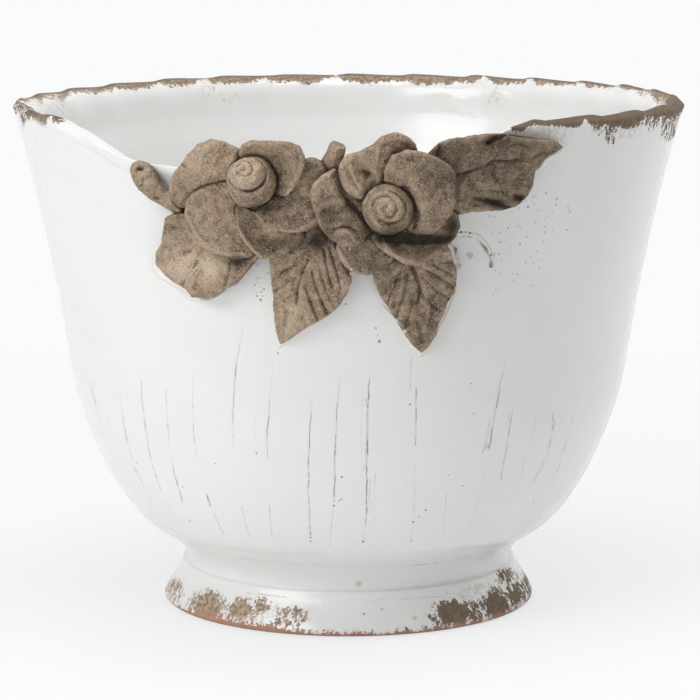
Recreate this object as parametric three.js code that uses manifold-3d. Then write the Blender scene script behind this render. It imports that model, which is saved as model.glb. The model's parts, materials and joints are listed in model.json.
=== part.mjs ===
// A footed earthenware planter bowl with a spray of clay flowers and leaves luted on below its rim.
// Millimetres, +Z up. The flowers are on the front, which faces -Y.

import * as THREE from "three";
import { mergeVertices } from "three/addons/utils/BufferGeometryUtils.js";
import Module from "manifold-3d";

const wasm = await Module();
wasm.setup();

// Thrown bowl
const HEIGHT = 251;
const RIM_RADIUS = 165;
const BELLY_RADIUS = 138;
const BELLY_HEIGHT = 118;
const NECK_RADIUS = 81.5;
const WALL = 8;
const FLOOR = 11;
const DRAIN_RADIUS = 8;

// How the wall leaves the neck, passes the belly and reaches the rim: pulls of its curve (out, up)
const NECK_PULL = [28, 9];
const BELLY_PULL_DOWN = [8, 40];
const BELLY_PULL_UP = [4, 41];
const RIM_PULL = [8, 33];

// Wavy rim, let down behind the flowers; angles go round from the front, to the right
const RIM_DIP = 20;
const DIP_ANGLES = [-57, -35, 13, 29];
const DIP_REACH = 80;
const LIP_ROUND = 3;
const WAVE_COUNT = 29;
const WAVE_HEIGHT = 1.2;

// Thrown foot, hollow below
const FOOT_HEIGHT = 29;
const FOOT_RADIUS = 93;
const FOOT_WALL = 15;
const FOOT_VAULT = 10;
const FOOT_EDGE = 1.5;
const FLARE_PULL = [2, 7];
const COVE_PULL = 12;

// Clay sheet and the gap between luted pieces
const PETAL_THICKNESS = 4;
const PETAL_ROUND = 1.4;
const LEAF_THICKNESS = 3.5;
const GAP = 0.3;

// Smoothness: numbers of facets, and where the rings and columns of a sheet lie between middle and edge
const POT_SIDES = WAVE_COUNT * 3;
const WALL_SAMPLES = 40;
const WALL_ROWS = 10;
const FOOT_SIDES = 68;
const FLARE_ROWS = 6;
const PETAL_SIDES = 18;
const PETAL_FRONT = [0.35, 0.68];
const PETAL_BACK = 0.5;
const LEAF_COLUMNS = [-1, -0.66, -0.33, 0, 0.33, 0.66, 1];
const ROLL_ROWS = 13;
const ROLL_SIDES = 24;
const STEM_ROWS = 10;
const STEM_SIDES = 8;
const SLIVER = 0.05;

// Rolled flower centres: place on the wall (along it from the front line, below the rim),
// tilt up and to the right in degrees, and the height of the rolled part's foot and its crown
const ROSE_LEFT = { along: -38.5, below: 25, tilt: 22, turn: 1, foot: 19, crown: 15, radius: 11 };
const ROSE_RIGHT = { along: 15.5, below: 36, tilt: 8, turn: -4, foot: 23, crown: 12, radius: 11 };
const ROLL_PITCH = 4;
const ROLL_GROOVE = 1.3;
const WAD_RADIUS = 13;
const WAD_DROP = 10;
const WAD_NECK = 0.8;
const WAD_ROWS = [{ off: 0.75, drop: 0.2 }, { off: 0.4, drop: 0.6 }];

// Petals: points of the edge and the crown of the sheet, each [right, up, off the wall]
// measured from the flower's place on the wall
const PETALS = {
  rose_right_petal_right: {
    rose: ROSE_RIGHT,
    crown: [15, 9, 29],
    edge: [[-1.5, 12.5, 20], [-0.5, 20, 22], [4, 26, 24], [11, 25.5, 25], [19.5, 22, 25], [26, 15.5, 24],
      [28, 7, 23], [27, 0, 24], [22.5, -7.5, 26], [15.5, -12, 28], [9, -10.5, 26], [6, 0, 19]],
  },
  rose_right_petal_top: {
    rose: ROSE_RIGHT,
    crown: [-7, 17, 18],
    edge: [[-19.5, 13.5, 20], [-18.5, 20.5, 19], [-14.5, 25, 19], [-9, 26, 19], [-3.5, 31.5, 21],
      [2, 34, 23], [8, 31.5, 21], [12.5, 25, 17], [8, 14, 15], [1, 5, 15], [-7, 3.5, 20], [-14, 5.5, 23]],
  },
  rose_right_petal_left: {
    rose: ROSE_RIGHT,
    crown: [-21, -1.5, 24],
    edge: [[-21, 17.5, 20], [-26, 14.5, 21], [-30, 9.5, 22], [-30.5, 3, 23], [-27.5, -5, 25],
      [-23.5, -12.5, 26], [-17, -17, 25], [-9.5, -15, 21], [-5, -8, 14], [-6, 0, 13], [-13, 8, 14]],
  },
  rose_right_petal_lower_right: {
    rose: ROSE_RIGHT,
    crown: [15, -14, 15],
    edge: [[-6, -13.5, 20], [-1.5, -19, 24], [4, -23, 25], [11, -26.5, 25], [18, -24.5, 24], [23, -20, 22],
      [30, -15.5, 18], [33, -8, 14], [29, -1, 11], [16, 0, 11], [5, -3, 12], [-2, -8, 14]],
  },
  rose_right_petal_lower_left: {
    rose: ROSE_RIGHT,
    crown: [-8.5, -20, 18],
    edge: [[-20.5, -15, 15], [-19.5, -23, 16], [-15, -28.5, 17], [-8, -31.5, 17], [0, -28, 16],
      [6, -22, 13], [4, -10, 11], [-3.5, -3, 11], [-13, -6, 12]],
  },
  rose_left_petal_top: {
    rose: ROSE_LEFT,
    crown: [9.5, 8, 17],
    edge: [[-5.5, 12.5, 18], [-2, 18, 20], [8.5, 18.5, 22], [18.5, 18.5, 23], [22, 13, 24], [19.5, 2.5, 24],
      [14, -5.5, 22], [5, -4, 14], [-3, 3, 13]],
  },
  rose_left_petal_right: {
    rose: ROSE_LEFT,
    crown: [17.5, -10, 18],
    edge: [[0.5, -14.5, 22], [8, -20.5, 23], [18, -22.5, 21], [26.5, -18, 17], [31.5, -6, 13], [31, 6, 12],
      [23, 11, 12], [10, 5, 12], [4, -3, 13], [2, -9, 18]],
  },
  rose_left_petal_bottom: {
    rose: ROSE_LEFT,
    crown: [4, -22, 15],
    edge: [[-8, -11.5, 20], [-7, -20, 23], [-4, -28.5, 22], [1.5, -35, 20], [7.5, -34.5, 18],
      [13.5, -30.5, 16], [19.5, -25, 14], [17, -13, 12], [8, -3, 12], [-3, -3, 13]],
  },
  rose_left_petal_lower_left: {
    rose: ROSE_LEFT,
    crown: [-17, -16, 21],
    edge: [[-8, 2, 15], [-17.5, -1, 19], [-25.5, -5, 20], [-31.5, -13.5, 19], [-32.5, -23, 17],
      [-27, -31.5, 15], [-16.5, -35, 14], [-6, -36, 13], [0, -30, 12], [2, -16, 12], [0, -4, 12]],
  },
  rose_left_petal_top_left: {
    rose: ROSE_LEFT,
    crown: [-20, 6, 21],
    edge: [[-41, -9.5, 12], [-38, 0, 13], [-30, 9.5, 15], [-20, 18, 16], [-11, 18, 16], [-4, 12, 14],
      [0, 4, 11], [-6, -5, 10], [-22, -9, 10], [-38, -15, 9]],
  },
};

// Leaves: the rib and both edges from root to tip, each point [along the wall, below the rim, off the wall]
const LEAVES = {
  leaf_right: {
    rib: [[30, 29, 13], [45, 25.5, 12], [61, 21, 9], [78.5, 16.5, 7], [101.8, 13.2, 4]],
    left: [[30, 18, 13], [35, 10, 13], [39.5, 6.8, 12], [49, 6.2, 11], [59.5, 4.6, 10.5], [65, 4.6, 10],
      [70, 6.2, 9], [75.5, 8.2, 8], [88, 9, 6], [95, 10, 5], [101.8, 13.2, 4]],
    right: [[30, 42, 10], [48, 40.6, 10], [60, 39.5, 9.5], [71, 40.2, 8.5], [75, 39, 8], [79.5, 36.8, 7.5],
      [83.5, 33, 7], [85, 25.5, 6.5], [87, 21, 6], [91, 17.5, 5], [96, 15.7, 4.5], [101.8, 13.2, 4]],
  },
  leaf_lower_right: {
    rib: [[22, 48, 14], [25, 58.5, 13], [28.5, 73, 9], [34, 90, 6], [37.5, 106, 4]],
    left: [[36, 46, 14], [43, 54.5, 13], [50, 68, 9], [50, 76.5, 8], [46, 88, 6], [42, 99, 5],
      [37.5, 106, 4]],
    right: [[10, 48, 13], [10.5, 61.5, 12], [12.5, 73, 9], [17.5, 81, 7], [25, 92, 6], [31.5, 101, 5],
      [37.5, 106, 4]],
  },
  leaf_middle: {
    rib: [[-13, 42, 13], [-16, 52, 12], [-22, 68, 9], [-28, 84, 6], [-34.5, 102, 4]],
    left: [[-4, 42, 13], [-2, 54, 12], [1.5, 67, 9], [-1.5, 77.5, 8], [-10, 87.5, 7], [-21.5, 93.5, 6],
      [-34.5, 102, 4]],
    right: [[-28, 44, 12], [-35, 58, 11], [-36, 68, 8], [-36, 78, 6], [-36, 88, 5], [-34.5, 102, 4]],
  },
  leaf_left: {
    rib: [[-42, 42, 12], [-52, 47, 11], [-64, 54, 9], [-80, 61, 7], [-99.5, 68, 4.5]],
    left: [[-34, 48, 12], [-40, 60, 12], [-47, 66.5, 11], [-52, 72, 10], [-60, 76.5, 9], [-67, 81, 8],
      [-75, 81.5, 7], [-80.5, 79.5, 6], [-84, 76.5, 5.5], [-89.5, 74, 5], [-99.5, 68, 4.5]],
    right: [[-52, 36, 10], [-66, 41, 10], [-73.5, 42, 10], [-79, 41.5, 10], [-83, 43.5, 10], [-87, 48, 9],
      [-89, 54, 8], [-92, 58.5, 7], [-96, 63.5, 6], [-99.5, 68, 4.5]],
  },
};
const VEIN_ROWS = 13;
const VEIN_SLANT = 1.6;
const VEIN_DEPTH = 0.7;
const RIB_DEPTH = 1;
const LEAF_SEAT = 3;

// Round stems: points [along the wall, below the rim, off the wall] and the radius at each
const STEMS = {
  bud_stem: {
    path: [[-100, 22.5, 4], [-96.5, 24.5, 6], [-93.5, 28.5, 6], [-90.5, 32, 5.5], [-87.5, 34.5, 5],
      [-84, 36.5, 5], [-80, 38, 6], [-76, 39, 6]],
    radii: [3.4, 5.6, 5.4, 4.2, 3.8, 3.8, 3.9, 4],
  },
  twig_stub: {
    path: [[-4, 8.5, 10], [-5, 11.5, 9.5], [-6.5, 15.5, 9], [-8, 21, 7]],
    radii: [3.5, 3.8, 4.5, 5],
  },
};

// Wall curve from the neck to the rim, (radius, height)
const seatHeight = FOOT_HEIGHT + GAP;
const wallCurve = new THREE.CurvePath();
wallCurve.add(new THREE.CubicBezierCurve(
  new THREE.Vector2(NECK_RADIUS, seatHeight),
  new THREE.Vector2(NECK_RADIUS + NECK_PULL[0], seatHeight + NECK_PULL[1]),
  new THREE.Vector2(BELLY_RADIUS - BELLY_PULL_DOWN[0], BELLY_HEIGHT - BELLY_PULL_DOWN[1]),
  new THREE.Vector2(BELLY_RADIUS, BELLY_HEIGHT),
));
wallCurve.add(new THREE.CubicBezierCurve(
  new THREE.Vector2(BELLY_RADIUS, BELLY_HEIGHT),
  new THREE.Vector2(BELLY_RADIUS + BELLY_PULL_UP[0], BELLY_HEIGHT + BELLY_PULL_UP[1]),
  new THREE.Vector2(RIM_RADIUS - RIM_PULL[0], HEIGHT - RIM_PULL[1]),
  new THREE.Vector2(RIM_RADIUS, HEIGHT),
));
const wallPoints = wallCurve.getPoints(WALL_SAMPLES);

function wallRadius(z) {
  const next = wallPoints.findIndex((p) => p.y >= z);
  if (next < 0) return wallPoints.at(-1).x;
  if (next === 0) return wallPoints[0].x;
  const low = wallPoints[next - 1];
  const high = wallPoints[next];
  return THREE.MathUtils.mapLinear(z, low.y, high.y, low.x, high.x);
}

// A place on the wall: along it from the front line, below the rim, off its face
const layoutRadius = wallRadius(HEIGHT - RIM_DIP);

function onWall(along, below, off) {
  const z = HEIGHT - below;
  const turn = along / layoutRadius;
  const r = wallRadius(z) + off;
  return new THREE.Vector3(r * Math.sin(turn), -r * Math.cos(turn), z);
}

// Solids from meshes and back
function solidOf(geometry) {
  const bare = geometry.clone();
  bare.deleteAttribute("normal");
  bare.deleteAttribute("uv");
  const merged = mergeVertices(bare, 1e-4);
  return new wasm.Manifold(new wasm.Mesh({
    numProp: 3,
    vertProperties: merged.attributes.position.array,
    triVerts: Uint32Array.from(merged.index.array),
  }));
}

function geometryOf(solid) {
  const mesh = solid.getMesh();
  const geometry = new THREE.BufferGeometry();
  geometry.setAttribute("position", new THREE.BufferAttribute(mesh.vertProperties, 3));
  geometry.setIndex(new THREE.BufferAttribute(mesh.triVerts, 1));
  geometry.computeVertexNormals();
  return geometry;
}

// Skin over rings of equal length that run counter-clockwise seen from outside; each end closes on a point
function skin(start, rings, end) {
  const sides = rings[0].length;
  const points = [start, ...rings.flat(), end];
  const last = points.length - 1;
  const faces = [];
  for (let j = 0; j < sides; j += 1) {
    const k = (j + 1) % sides;
    faces.push(0, 1 + j, 1 + k);
    for (let i = 0; i < rings.length - 1; i += 1) {
      const a = 1 + i * sides;
      const b = a + sides;
      faces.push(a + j, b + j, b + k, a + j, b + k, a + k);
    }
    faces.push(last - sides + j, last, last - sides + k);
  }
  const geometry = new THREE.BufferGeometry().setFromPoints(points);
  geometry.setIndex(faces);
  return geometry;
}

// Bowl: its wall profile is turned from the back, then the rim is let down and pinched into waves
function rimDrop(angle) {
  const [start, full, back, end] = DIP_ANGLES;
  const left = THREE.MathUtils.smoothstep(angle, start, full);
  const right = 1 - THREE.MathUtils.smoothstep(angle, back, end);
  return RIM_DIP * left * right;
}

function turnedBowl(profile) {
  const geometry = new THREE.LatheGeometry(profile, POT_SIDES, Math.PI);
  geometry.rotateX(Math.PI / 2);
  const p = geometry.attributes.position;
  for (let i = 0; i < p.count; i += 1) {
    const turn = Math.atan2(p.getX(i), -p.getY(i));
    const r = Math.hypot(p.getX(i), p.getY(i));
    const z = p.getZ(i);
    const share = THREE.MathUtils.smoothstep(z, HEIGHT - DIP_REACH, HEIGHT);
    const wave = WAVE_HEIGHT * (Math.cos((turn - Math.PI) * WAVE_COUNT) - 1);
    const lowered = z + share * (share * wave - rimDrop(THREE.MathUtils.radToDeg(turn)));
    const moved = r + wallRadius(lowered) - wallRadius(z);
    p.setXYZ(i, moved * Math.sin(turn), -moved * Math.cos(turn), lowered);
  }
  return geometry;
}

function wallProfile(off) {
  return wallCurve.getSpacedPoints(WALL_ROWS).map((p, i) => {
    const along = wallCurve.getTangentAt(i / WALL_ROWS);
    return new THREE.Vector2(p.x + along.y * off, p.y - along.x * off);
  });
}

function bowlGeometry() {
  const floorTop = seatHeight + FLOOR;
  const outside = wallProfile(0);
  const inside = wallProfile(-WALL).filter((p) => p.y > floorTop + LIP_ROUND);
  outside.at(-1).y -= LIP_ROUND;
  outside.at(-1).x = wallRadius(HEIGHT - LIP_ROUND);
  inside.at(-1).set(outside.at(-1).x - WALL, HEIGHT - LIP_ROUND);
  const lip = [
    new THREE.Vector2(RIM_RADIUS - LIP_ROUND, HEIGHT),
    new THREE.Vector2(RIM_RADIUS - WALL + LIP_ROUND, HEIGHT),
  ];
  const floor = [
    new THREE.Vector2(inside[0].x - FLOOR, floorTop),
    new THREE.Vector2(DRAIN_RADIUS, floorTop),
    new THREE.Vector2(DRAIN_RADIUS, seatHeight),
  ];
  const profile = [...outside, ...lip, ...inside.reverse(), ...floor, outside[0]];
  return turnedBowl(profile);
}

// The wall filled in to its axis and swollen by the gap, to trim what is luted on it
function wallTrimmer() {
  const outside = wallProfile(0).map((p) => new THREE.Vector2(p.x + GAP, p.y));
  outside.at(-1).x = wallRadius(HEIGHT - LIP_ROUND) + GAP;
  outside.at(-1).y -= LIP_ROUND;
  const top = new THREE.Vector2(RIM_RADIUS - LIP_ROUND, HEIGHT + GAP);
  const profile = [
    new THREE.Vector2(0, seatHeight),
    ...outside,
    top,
    new THREE.Vector2(0, HEIGHT + GAP),
  ];
  return solidOf(turnedBowl(profile));
}

// Foot: turned ring that flares from the cove under the neck to a rounded base, hollow inside
function footGeometry() {
  const flare = new THREE.CubicBezierCurve(
    new THREE.Vector2(FOOT_RADIUS, FOOT_EDGE),
    new THREE.Vector2(FOOT_RADIUS - FLARE_PULL[0], FOOT_EDGE + FLARE_PULL[1]),
    new THREE.Vector2(NECK_RADIUS, FOOT_HEIGHT - COVE_PULL),
    new THREE.Vector2(NECK_RADIUS, FOOT_HEIGHT),
  ).getPoints(FLARE_ROWS);
  const profile = [
    new THREE.Vector2(FOOT_RADIUS - FOOT_EDGE, 0),
    ...flare,
    new THREE.Vector2(NECK_RADIUS - FOOT_WALL, FOOT_HEIGHT),
    new THREE.Vector2((NECK_RADIUS + FOOT_RADIUS) / 2 - FOOT_WALL, FOOT_VAULT),
    new THREE.Vector2(FOOT_RADIUS - FOOT_WALL, 0),
    new THREE.Vector2(FOOT_RADIUS - FOOT_EDGE, 0),
  ];
  const geometry = new THREE.LatheGeometry(profile, FOOT_SIDES);
  geometry.rotateX(Math.PI / 2);
  return geometry;
}

// Rolled centre: a domed roll of clay with its spiral groove, on a wad that goes back to the wall
function centreSolid(rose, grow) {
  const turn = rose.along / layoutRadius + THREE.MathUtils.degToRad(rose.turn);
  const tilt = THREE.MathUtils.degToRad(rose.tilt);
  const out = new THREE.Vector3(Math.sin(turn), -Math.cos(turn), Math.tan(tilt)).normalize();
  const right = new THREE.Vector3(Math.cos(turn), Math.sin(turn), 0);
  const up = new THREE.Vector3().crossVectors(out, right);
  const place = (middle, radius, angle, height = 0) => middle.clone()
    .addScaledVector(right, radius * Math.cos(angle))
    .addScaledVector(up, radius * Math.sin(angle))
    .addScaledVector(out, height);
  const angles = Array.from({ length: ROLL_SIDES }, (_, j) => (j / ROLL_SIDES) * Math.PI * 2);
  const foot = onWall(rose.along, rose.below, rose.foot);
  const depth = grow > 0 ? 0 : ROLL_GROOVE;
  const rings = [];
  for (let i = 1; i <= ROLL_ROWS; i += 1) {
    const lean = (i / ROLL_ROWS) * Math.PI / 2;
    const radius = (rose.radius + grow) * Math.sin(lean);
    const height = (rose.crown + grow) * Math.cos(lean);
    const fade = depth * Math.cos(lean) ** 0.5;
    rings.push(angles.map((angle) => {
      const phase = Math.cos((radius / ROLL_PITCH) * Math.PI * 2 - angle);
      return place(foot, radius, angle, height - fade * Math.max(0, phase));
    }));
  }
  const wad = [
    ...WAD_ROWS.map(({ off, drop }) => [rose.radius * WAD_NECK, rose.foot * off, WAD_DROP * drop]),
    [WAD_RADIUS, 0, WAD_DROP],
    [WAD_RADIUS, -WAD_RADIUS, WAD_DROP],
  ];
  wad.forEach(([radius, off, drop]) => {
    const middle = onWall(rose.along, rose.below + drop, off);
    rings.push(angles.map((angle) => place(middle, radius + grow, angle)));
  });
  const apex = place(foot, 0, 0, rose.crown + grow - depth);
  return solidOf(skin(apex, rings, onWall(rose.along, rose.below + WAD_DROP, -WAD_RADIUS)));
}

// Petal: a pinched sheet between its edge and its crown, rounded at the edge
function petalSolid({ rose, crown, edge }, grow) {
  const outline = new THREE.CatmullRomCurve3(edge.map((p) => new THREE.Vector3(...p)), true);
  const rim = outline.getSpacedPoints(PETAL_SIDES).slice(1);
  if (THREE.ShapeUtils.area(rim) < 0) rim.reverse();
  const middle = new THREE.Vector3(...crown);
  const place = (p, off) => onWall(rose.along + p.x, rose.below - p.y, p.z + off);
  const ring = (share, inset, off) => rim.map((p) => {
    const reach = Math.hypot(p.x - middle.x, p.y - middle.y);
    const part = share - (inset - grow) / reach;
    const q = middle.clone().lerp(p, part);
    q.z = middle.z + (p.z - middle.z) * Math.min(part, 1) ** 2;
    return place(q, off);
  });
  const back = -PETAL_THICKNESS - grow;
  const rings = [
    ...PETAL_FRONT.map((share) => ring(share, 0, grow)),
    ring(1, PETAL_ROUND, grow),
    ring(1, 0, -PETAL_THICKNESS / 2),
    ring(1, PETAL_ROUND, back),
    ring(PETAL_BACK, 0, back),
  ];
  return solidOf(skin(place(middle, grow), rings, place(middle, back)));
}

// Leaf: a sheet between its two edges, creased along the rib and pleated along its side veins
function leafSolid({ rib, left, right }, grow) {
  const [spine, ...edges] = [rib, right, left].map(
    (points) => new THREE.CatmullRomCurve3(points.map((p) => new THREE.Vector3(...p))));
  const place = (p, off) => onWall(p.x, p.y, p.z + off);
  const rings = [];
  for (let i = 0; i < VEIN_ROWS; i += 1) {
    const t = i / VEIN_ROWS;
    const middle = spine.getPointAt(t ** VEIN_SLANT);
    const row = LEAF_COLUMNS.map((share) => {
      const edge = edges[share < 0 ? 0 : 1].getPointAt(t);
      const reach = edge.distanceTo(middle);
      return middle.clone().lerp(edge, Math.abs(share) * (1 + grow / reach));
    });
    const pleat = i % 2 ? VEIN_DEPTH : -VEIN_DEPTH;
    const front = row.map((p, c) => place(p, grow + (LEAF_COLUMNS[c] === 0 ? -RIB_DEPTH : pleat)));
    const back = row.map((p) => place(p, -LEAF_THICKNESS - LEAF_SEAT * t ** 2 - grow));
    rings.push([...front, ...back.reverse()]);
  }
  const root = place(new THREE.Vector3(...rib[0]), -LEAF_THICKNESS / 2);
  const tip = place(new THREE.Vector3(...rib.at(-1)), -LEAF_THICKNESS / 2);
  return solidOf(skin(root, rings, tip));
}

// Stem: a rolled string of clay whose radius swells and thins along its path
function stemSolid({ path, radii }, grow) {
  const curve = new THREE.CatmullRomCurve3(path.map((p) => onWall(...p)));
  const frames = curve.computeFrenetFrames(STEM_ROWS, false);
  const rings = [];
  for (let i = 0; i <= STEM_ROWS; i += 1) {
    const t = i / STEM_ROWS;
    const at = t * (radii.length - 1);
    const low = Math.min(Math.floor(at), radii.length - 2);
    const radius = THREE.MathUtils.lerp(radii[low], radii[low + 1], at - low) + grow;
    const centre = curve.getPointAt(t);
    rings.push(Array.from({ length: STEM_SIDES }, (_, j) => {
      const angle = -(j / STEM_SIDES) * Math.PI * 2;
      return centre.clone()
        .addScaledVector(frames.normals[i], radius * Math.cos(angle))
        .addScaledVector(frames.binormals[i], radius * Math.sin(angle));
    }));
  }
  return solidOf(skin(curve.getPointAt(0), rings, curve.getPointAt(1)));
}

// The largest body of a trimmed piece, so that no crumb stays with it
function largest(solid) {
  return solid.decompose().sort((a, b) => b.volume() - a.volume())[0];
}

const glaze = new THREE.MeshStandardMaterial({ color: 0xeeede8, roughness: 0.2, metalness: 0 });
const clay = new THREE.MeshStandardMaterial({ color: 0x84705a, roughness: 0.95, metalness: 0 });

const group = new THREE.Group();

function addPiece(name, geometry, material) {
  const mesh = new THREE.Mesh(geometry, material.clone());
  mesh.name = name;
  group.add(mesh);
}

addPiece("bowl", bowlGeometry(), glaze);
addPiece("foot_ring", footGeometry(), glaze);

// Applied pieces from front to back: each gives way to those before it and to the wall
const applied = [
  ["rose_right_centre", (grow) => centreSolid(ROSE_RIGHT, grow)],
  ["rose_left_centre", (grow) => centreSolid(ROSE_LEFT, grow)],
  ...Object.entries(PETALS).map(([name, petal]) => [name, (grow) => petalSolid(petal, grow)]),
  ...Object.entries(STEMS).map(([name, stem]) => [name, (grow) => stemSolid(stem, grow)]),
  ...Object.entries(LEAVES).map(([name, leaf]) => [name, (grow) => leafSolid(leaf, grow)]),
];
let inFront = wallTrimmer();
applied.forEach(([name, make]) => {
  const solid = largest(make(0).subtract(inFront).simplify(SLIVER));
  addPiece(name, geometryOf(solid), clay);
  inFront = inFront.add(make(GAP));
});

// The origin is the middle of the whole part's box, at its foot
const box = new THREE.Box3().setFromObject(group);
const centre = box.getCenter(new THREE.Vector3());
group.position.set(-centre.x, -centre.y, -box.min.z);

export default group;
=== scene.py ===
"""A footed planter bowl in white glaze, worn brown at its rim and foot, with flowers of sandy clay."""

import json
import math

import bpy
import numpy as np
from mathutils.kdtree import KDTree
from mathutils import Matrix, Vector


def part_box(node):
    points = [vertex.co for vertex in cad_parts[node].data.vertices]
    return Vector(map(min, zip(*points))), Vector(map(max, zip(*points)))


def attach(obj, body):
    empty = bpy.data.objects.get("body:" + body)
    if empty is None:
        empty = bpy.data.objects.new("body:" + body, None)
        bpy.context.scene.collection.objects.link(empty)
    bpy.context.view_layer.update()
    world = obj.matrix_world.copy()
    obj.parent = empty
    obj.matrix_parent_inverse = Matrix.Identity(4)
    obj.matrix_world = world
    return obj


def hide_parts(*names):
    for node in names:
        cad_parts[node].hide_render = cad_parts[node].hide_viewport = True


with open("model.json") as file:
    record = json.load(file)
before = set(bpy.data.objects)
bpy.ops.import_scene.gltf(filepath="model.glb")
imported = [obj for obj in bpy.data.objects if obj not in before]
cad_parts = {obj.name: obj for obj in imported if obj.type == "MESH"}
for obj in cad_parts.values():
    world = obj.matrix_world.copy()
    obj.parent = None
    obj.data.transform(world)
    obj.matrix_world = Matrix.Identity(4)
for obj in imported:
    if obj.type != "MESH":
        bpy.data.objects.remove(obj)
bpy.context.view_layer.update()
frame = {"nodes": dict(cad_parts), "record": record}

MM = 0.001

# The picture's camera, in millimetres and degrees, and its focal length in pixels of a 700-pixel frame
FRAME_PX = 700
FOCAL_PX = 3075
CAMERA_BACK = 1520
CAMERA_UP = 364.8
CAMERA_SIDE = 0.74
CAMERA_PITCH = 9.0
SENSOR = 36
PX_MM = FOCAL_PX / CAMERA_BACK

# World light on the object, how white the world and the stage look, and how far the pot's shadow shows
WORLD_LIGHT = 0.21
WORLD_WHITE = 0.96
STAGE_WHITE = 0.97
NEAR_GLOW = 0.7
SHADOW_REACH = (250, 900)
FLOOR_COLOUR = (0.92, 0.925, 0.93, 1)
GLOW_COLOUR = (0.985, 0.99, 0.995, 1)

# Stage in metres: half width, front and back edges, radius of the bend, height, and gap under the foot
STAGE_HALF = 3.0
STAGE_FRONT = -4.0
STAGE_BACK = 2.5
STAGE_BEND = 1.2
STAGE_HEIGHT = 3.0
STAGE_GAP = 0.0004

# Soft boxes: angle round from the front, lift, distance and size in metres, power, shown in reflections
LAMPS = {
    "key_box": (-44, 30, 2.0, (1.1, 0.8), 13, True),
    "low_box": (-42, -1, 1.5, (1.1, 0.16), 2.2, False),
    "left_box": (-75, 30, 2.0, (1.1, 1.1), 3.5, False),
    "top_box": (0, 80, 1.8, (1.2, 1.2), 20.5, True),
    "right_box": (115, 25, 2.0, (1.1, 1.1), 12, False),
}

# The axis that the bowl and its foot were thrown on, and the height of the bowl
foot_low, foot_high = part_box("foot_ring")
AXIS_Y = (foot_low.y + foot_high.y) / 2 / MM
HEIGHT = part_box("bowl")[1].z / MM

# Turned meshes: steps between rows, the height, depths and radius where they change, the length from
# which a straight side is split, the foot's closely stepped width, and columns in front and behind
FINE_STEP = 0.7
FOOT_STEP = 0.8
WALL_STEP = 1.7
BELLY_STEP = 2.6
UNDER_STEP = 3.0
COARSE_STEP = 7.0
BELLY_TOP = 115
LIP_ZONE = 11
INSIDE_ZONE = 45
DRAIN_EDGE = 20
LONG_SIDE = 30
RING_WIDTH = 13
FRONT_COLUMNS = 400
BACK_COLUMNS = 240
FRONT_HALF = math.radians(80)
# How much of each outline's height stays sharp where bowl and foot meet
BOWL_SEAT = 1.5
FOOT_SEAT = 1.2

# Rim: pinches round it with a steep side each, how far they and the let-down stretch reach below it, the
# width of its worn brown band, and how many columns a pinch's push lags behind its height
PINCHES = 29
PINCH_STEEP = 0.2
PINCH_HEIGHT = 0.65
PINCH_PUSH = 0.5
RIM_REACH = 16
DIP_REACH = 80
RIM_BAND = 6.2
PINCH_LAG = 3
# Drips of the worn band down the inside: their place along a pinch, their width there and their length
DRIPS = (0.9, 0.06, 6)
# The rolled lip's reach and width, and the angle and width of its soft, lumpy stretch
LIP_ROLL = (3.6, 2.6)
LIP_SWELL = 1.1
SOFT_LIP = (math.radians(-47), 0.36)
SOFT_ROLL = (2.4, 0.8)
# The left side of the rim hangs lower: middle, half width and depth
LEFT_SAG = (math.radians(-82), math.radians(58), 2.4)
# From here to here in the picture the brown of the left tip closes up
BROKEN_TIP = (24, 46)
# Where the picture's edges of bare clay hold: depth on the side of the lip that is seen, and past the crest
LIP_SEEN = 20
LIP_PAST = 5
# Between these angles the rim has no worn brown band
BARE_RIM = (math.radians(-62), math.radians(21))
# Places across the picture: the pale left tip, the ends of the brown where it frays more, and the
# scorched stretch of the foot; middle and half width, or start and end
PALE_TIP = (50, 18)
FRAYED_LEFT = (118, 60)
FRAYED_RIGHT = (625, 650)
SCORCHED = (236, 48)
# Width and height of the slip that fills the corner between foot and bowl, how far it rides up the
# wall, and the places inside the wall that close it, from the neck and the foot's top
FOOT_FILLET = (10, 9)
FILLET_RIDE = 0.4
FILLET_ROOT = ((7, 6.5), (-4, 6.5), (-8, 0))

# Hand-thrown unevenness, and the radii and heights between which it sets in or ends
NOISE_RADIUS = 90
RING_STEP = 13
RING_DEPTH = 0.07
LUMP_SIZE = 70
LUMP_DEPTH = 0.7
FOOT_LUMP = 0.5
BULK_RADII = (30, 60)
RING_HEIGHTS = (40, 60)
LUMP_HEIGHTS = (36, 90)
FOOT_START = (0.6, 4)
FOOT_END = (15, 20)

# Farthest that edges of bare clay and of stains are stored, values for no mark near, and the least share
# of a normal that faces the camera
EDGE_REACH = 30
STAIN_REACH = 5
NO_LINE = 1e3
NO_DOT = 1e4
FACES_CAMERA = 0.02

# Clay pieces: voxel, swelling that closes the joints, sizes and depths of lumps, and pulls that even them
VOXEL = 0.5
SWELL = 0.3
CLAY_LUMPS = ((9, 0.5), (3.2, 0.26), (1.3, 0.14))
EVENING = (0.6, -0.64) * 11
# Strokes up to this width in pixels also mark the clay with painted highlight on ridges and painted shade in
# grooves, over a share of their width
NARROW_STROKE = 6
MARK_SHARE = 0.6
STROKE_STEP = 3.0
# Radius on which the clay is laid flat to find its hollows, spare height above it, and the widths that
# hollows are averaged over, with their shares
LAYOUT_RADIUS = 160
LAYOUT_SPARE = 30
CAVITY_WIDTHS = ((4, 0.6), (10, 0.4))
# How far glaze creeps up the clay, how its bends are measured, and how far from another piece the clay is
# painted darker as shade
CREEP = 1.7
BEND_DEPTH = 0.03
BEND_ROUNDS = 6
JOINT_REACH = 2.4
JOINT_SAMPLE = 3


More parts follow.
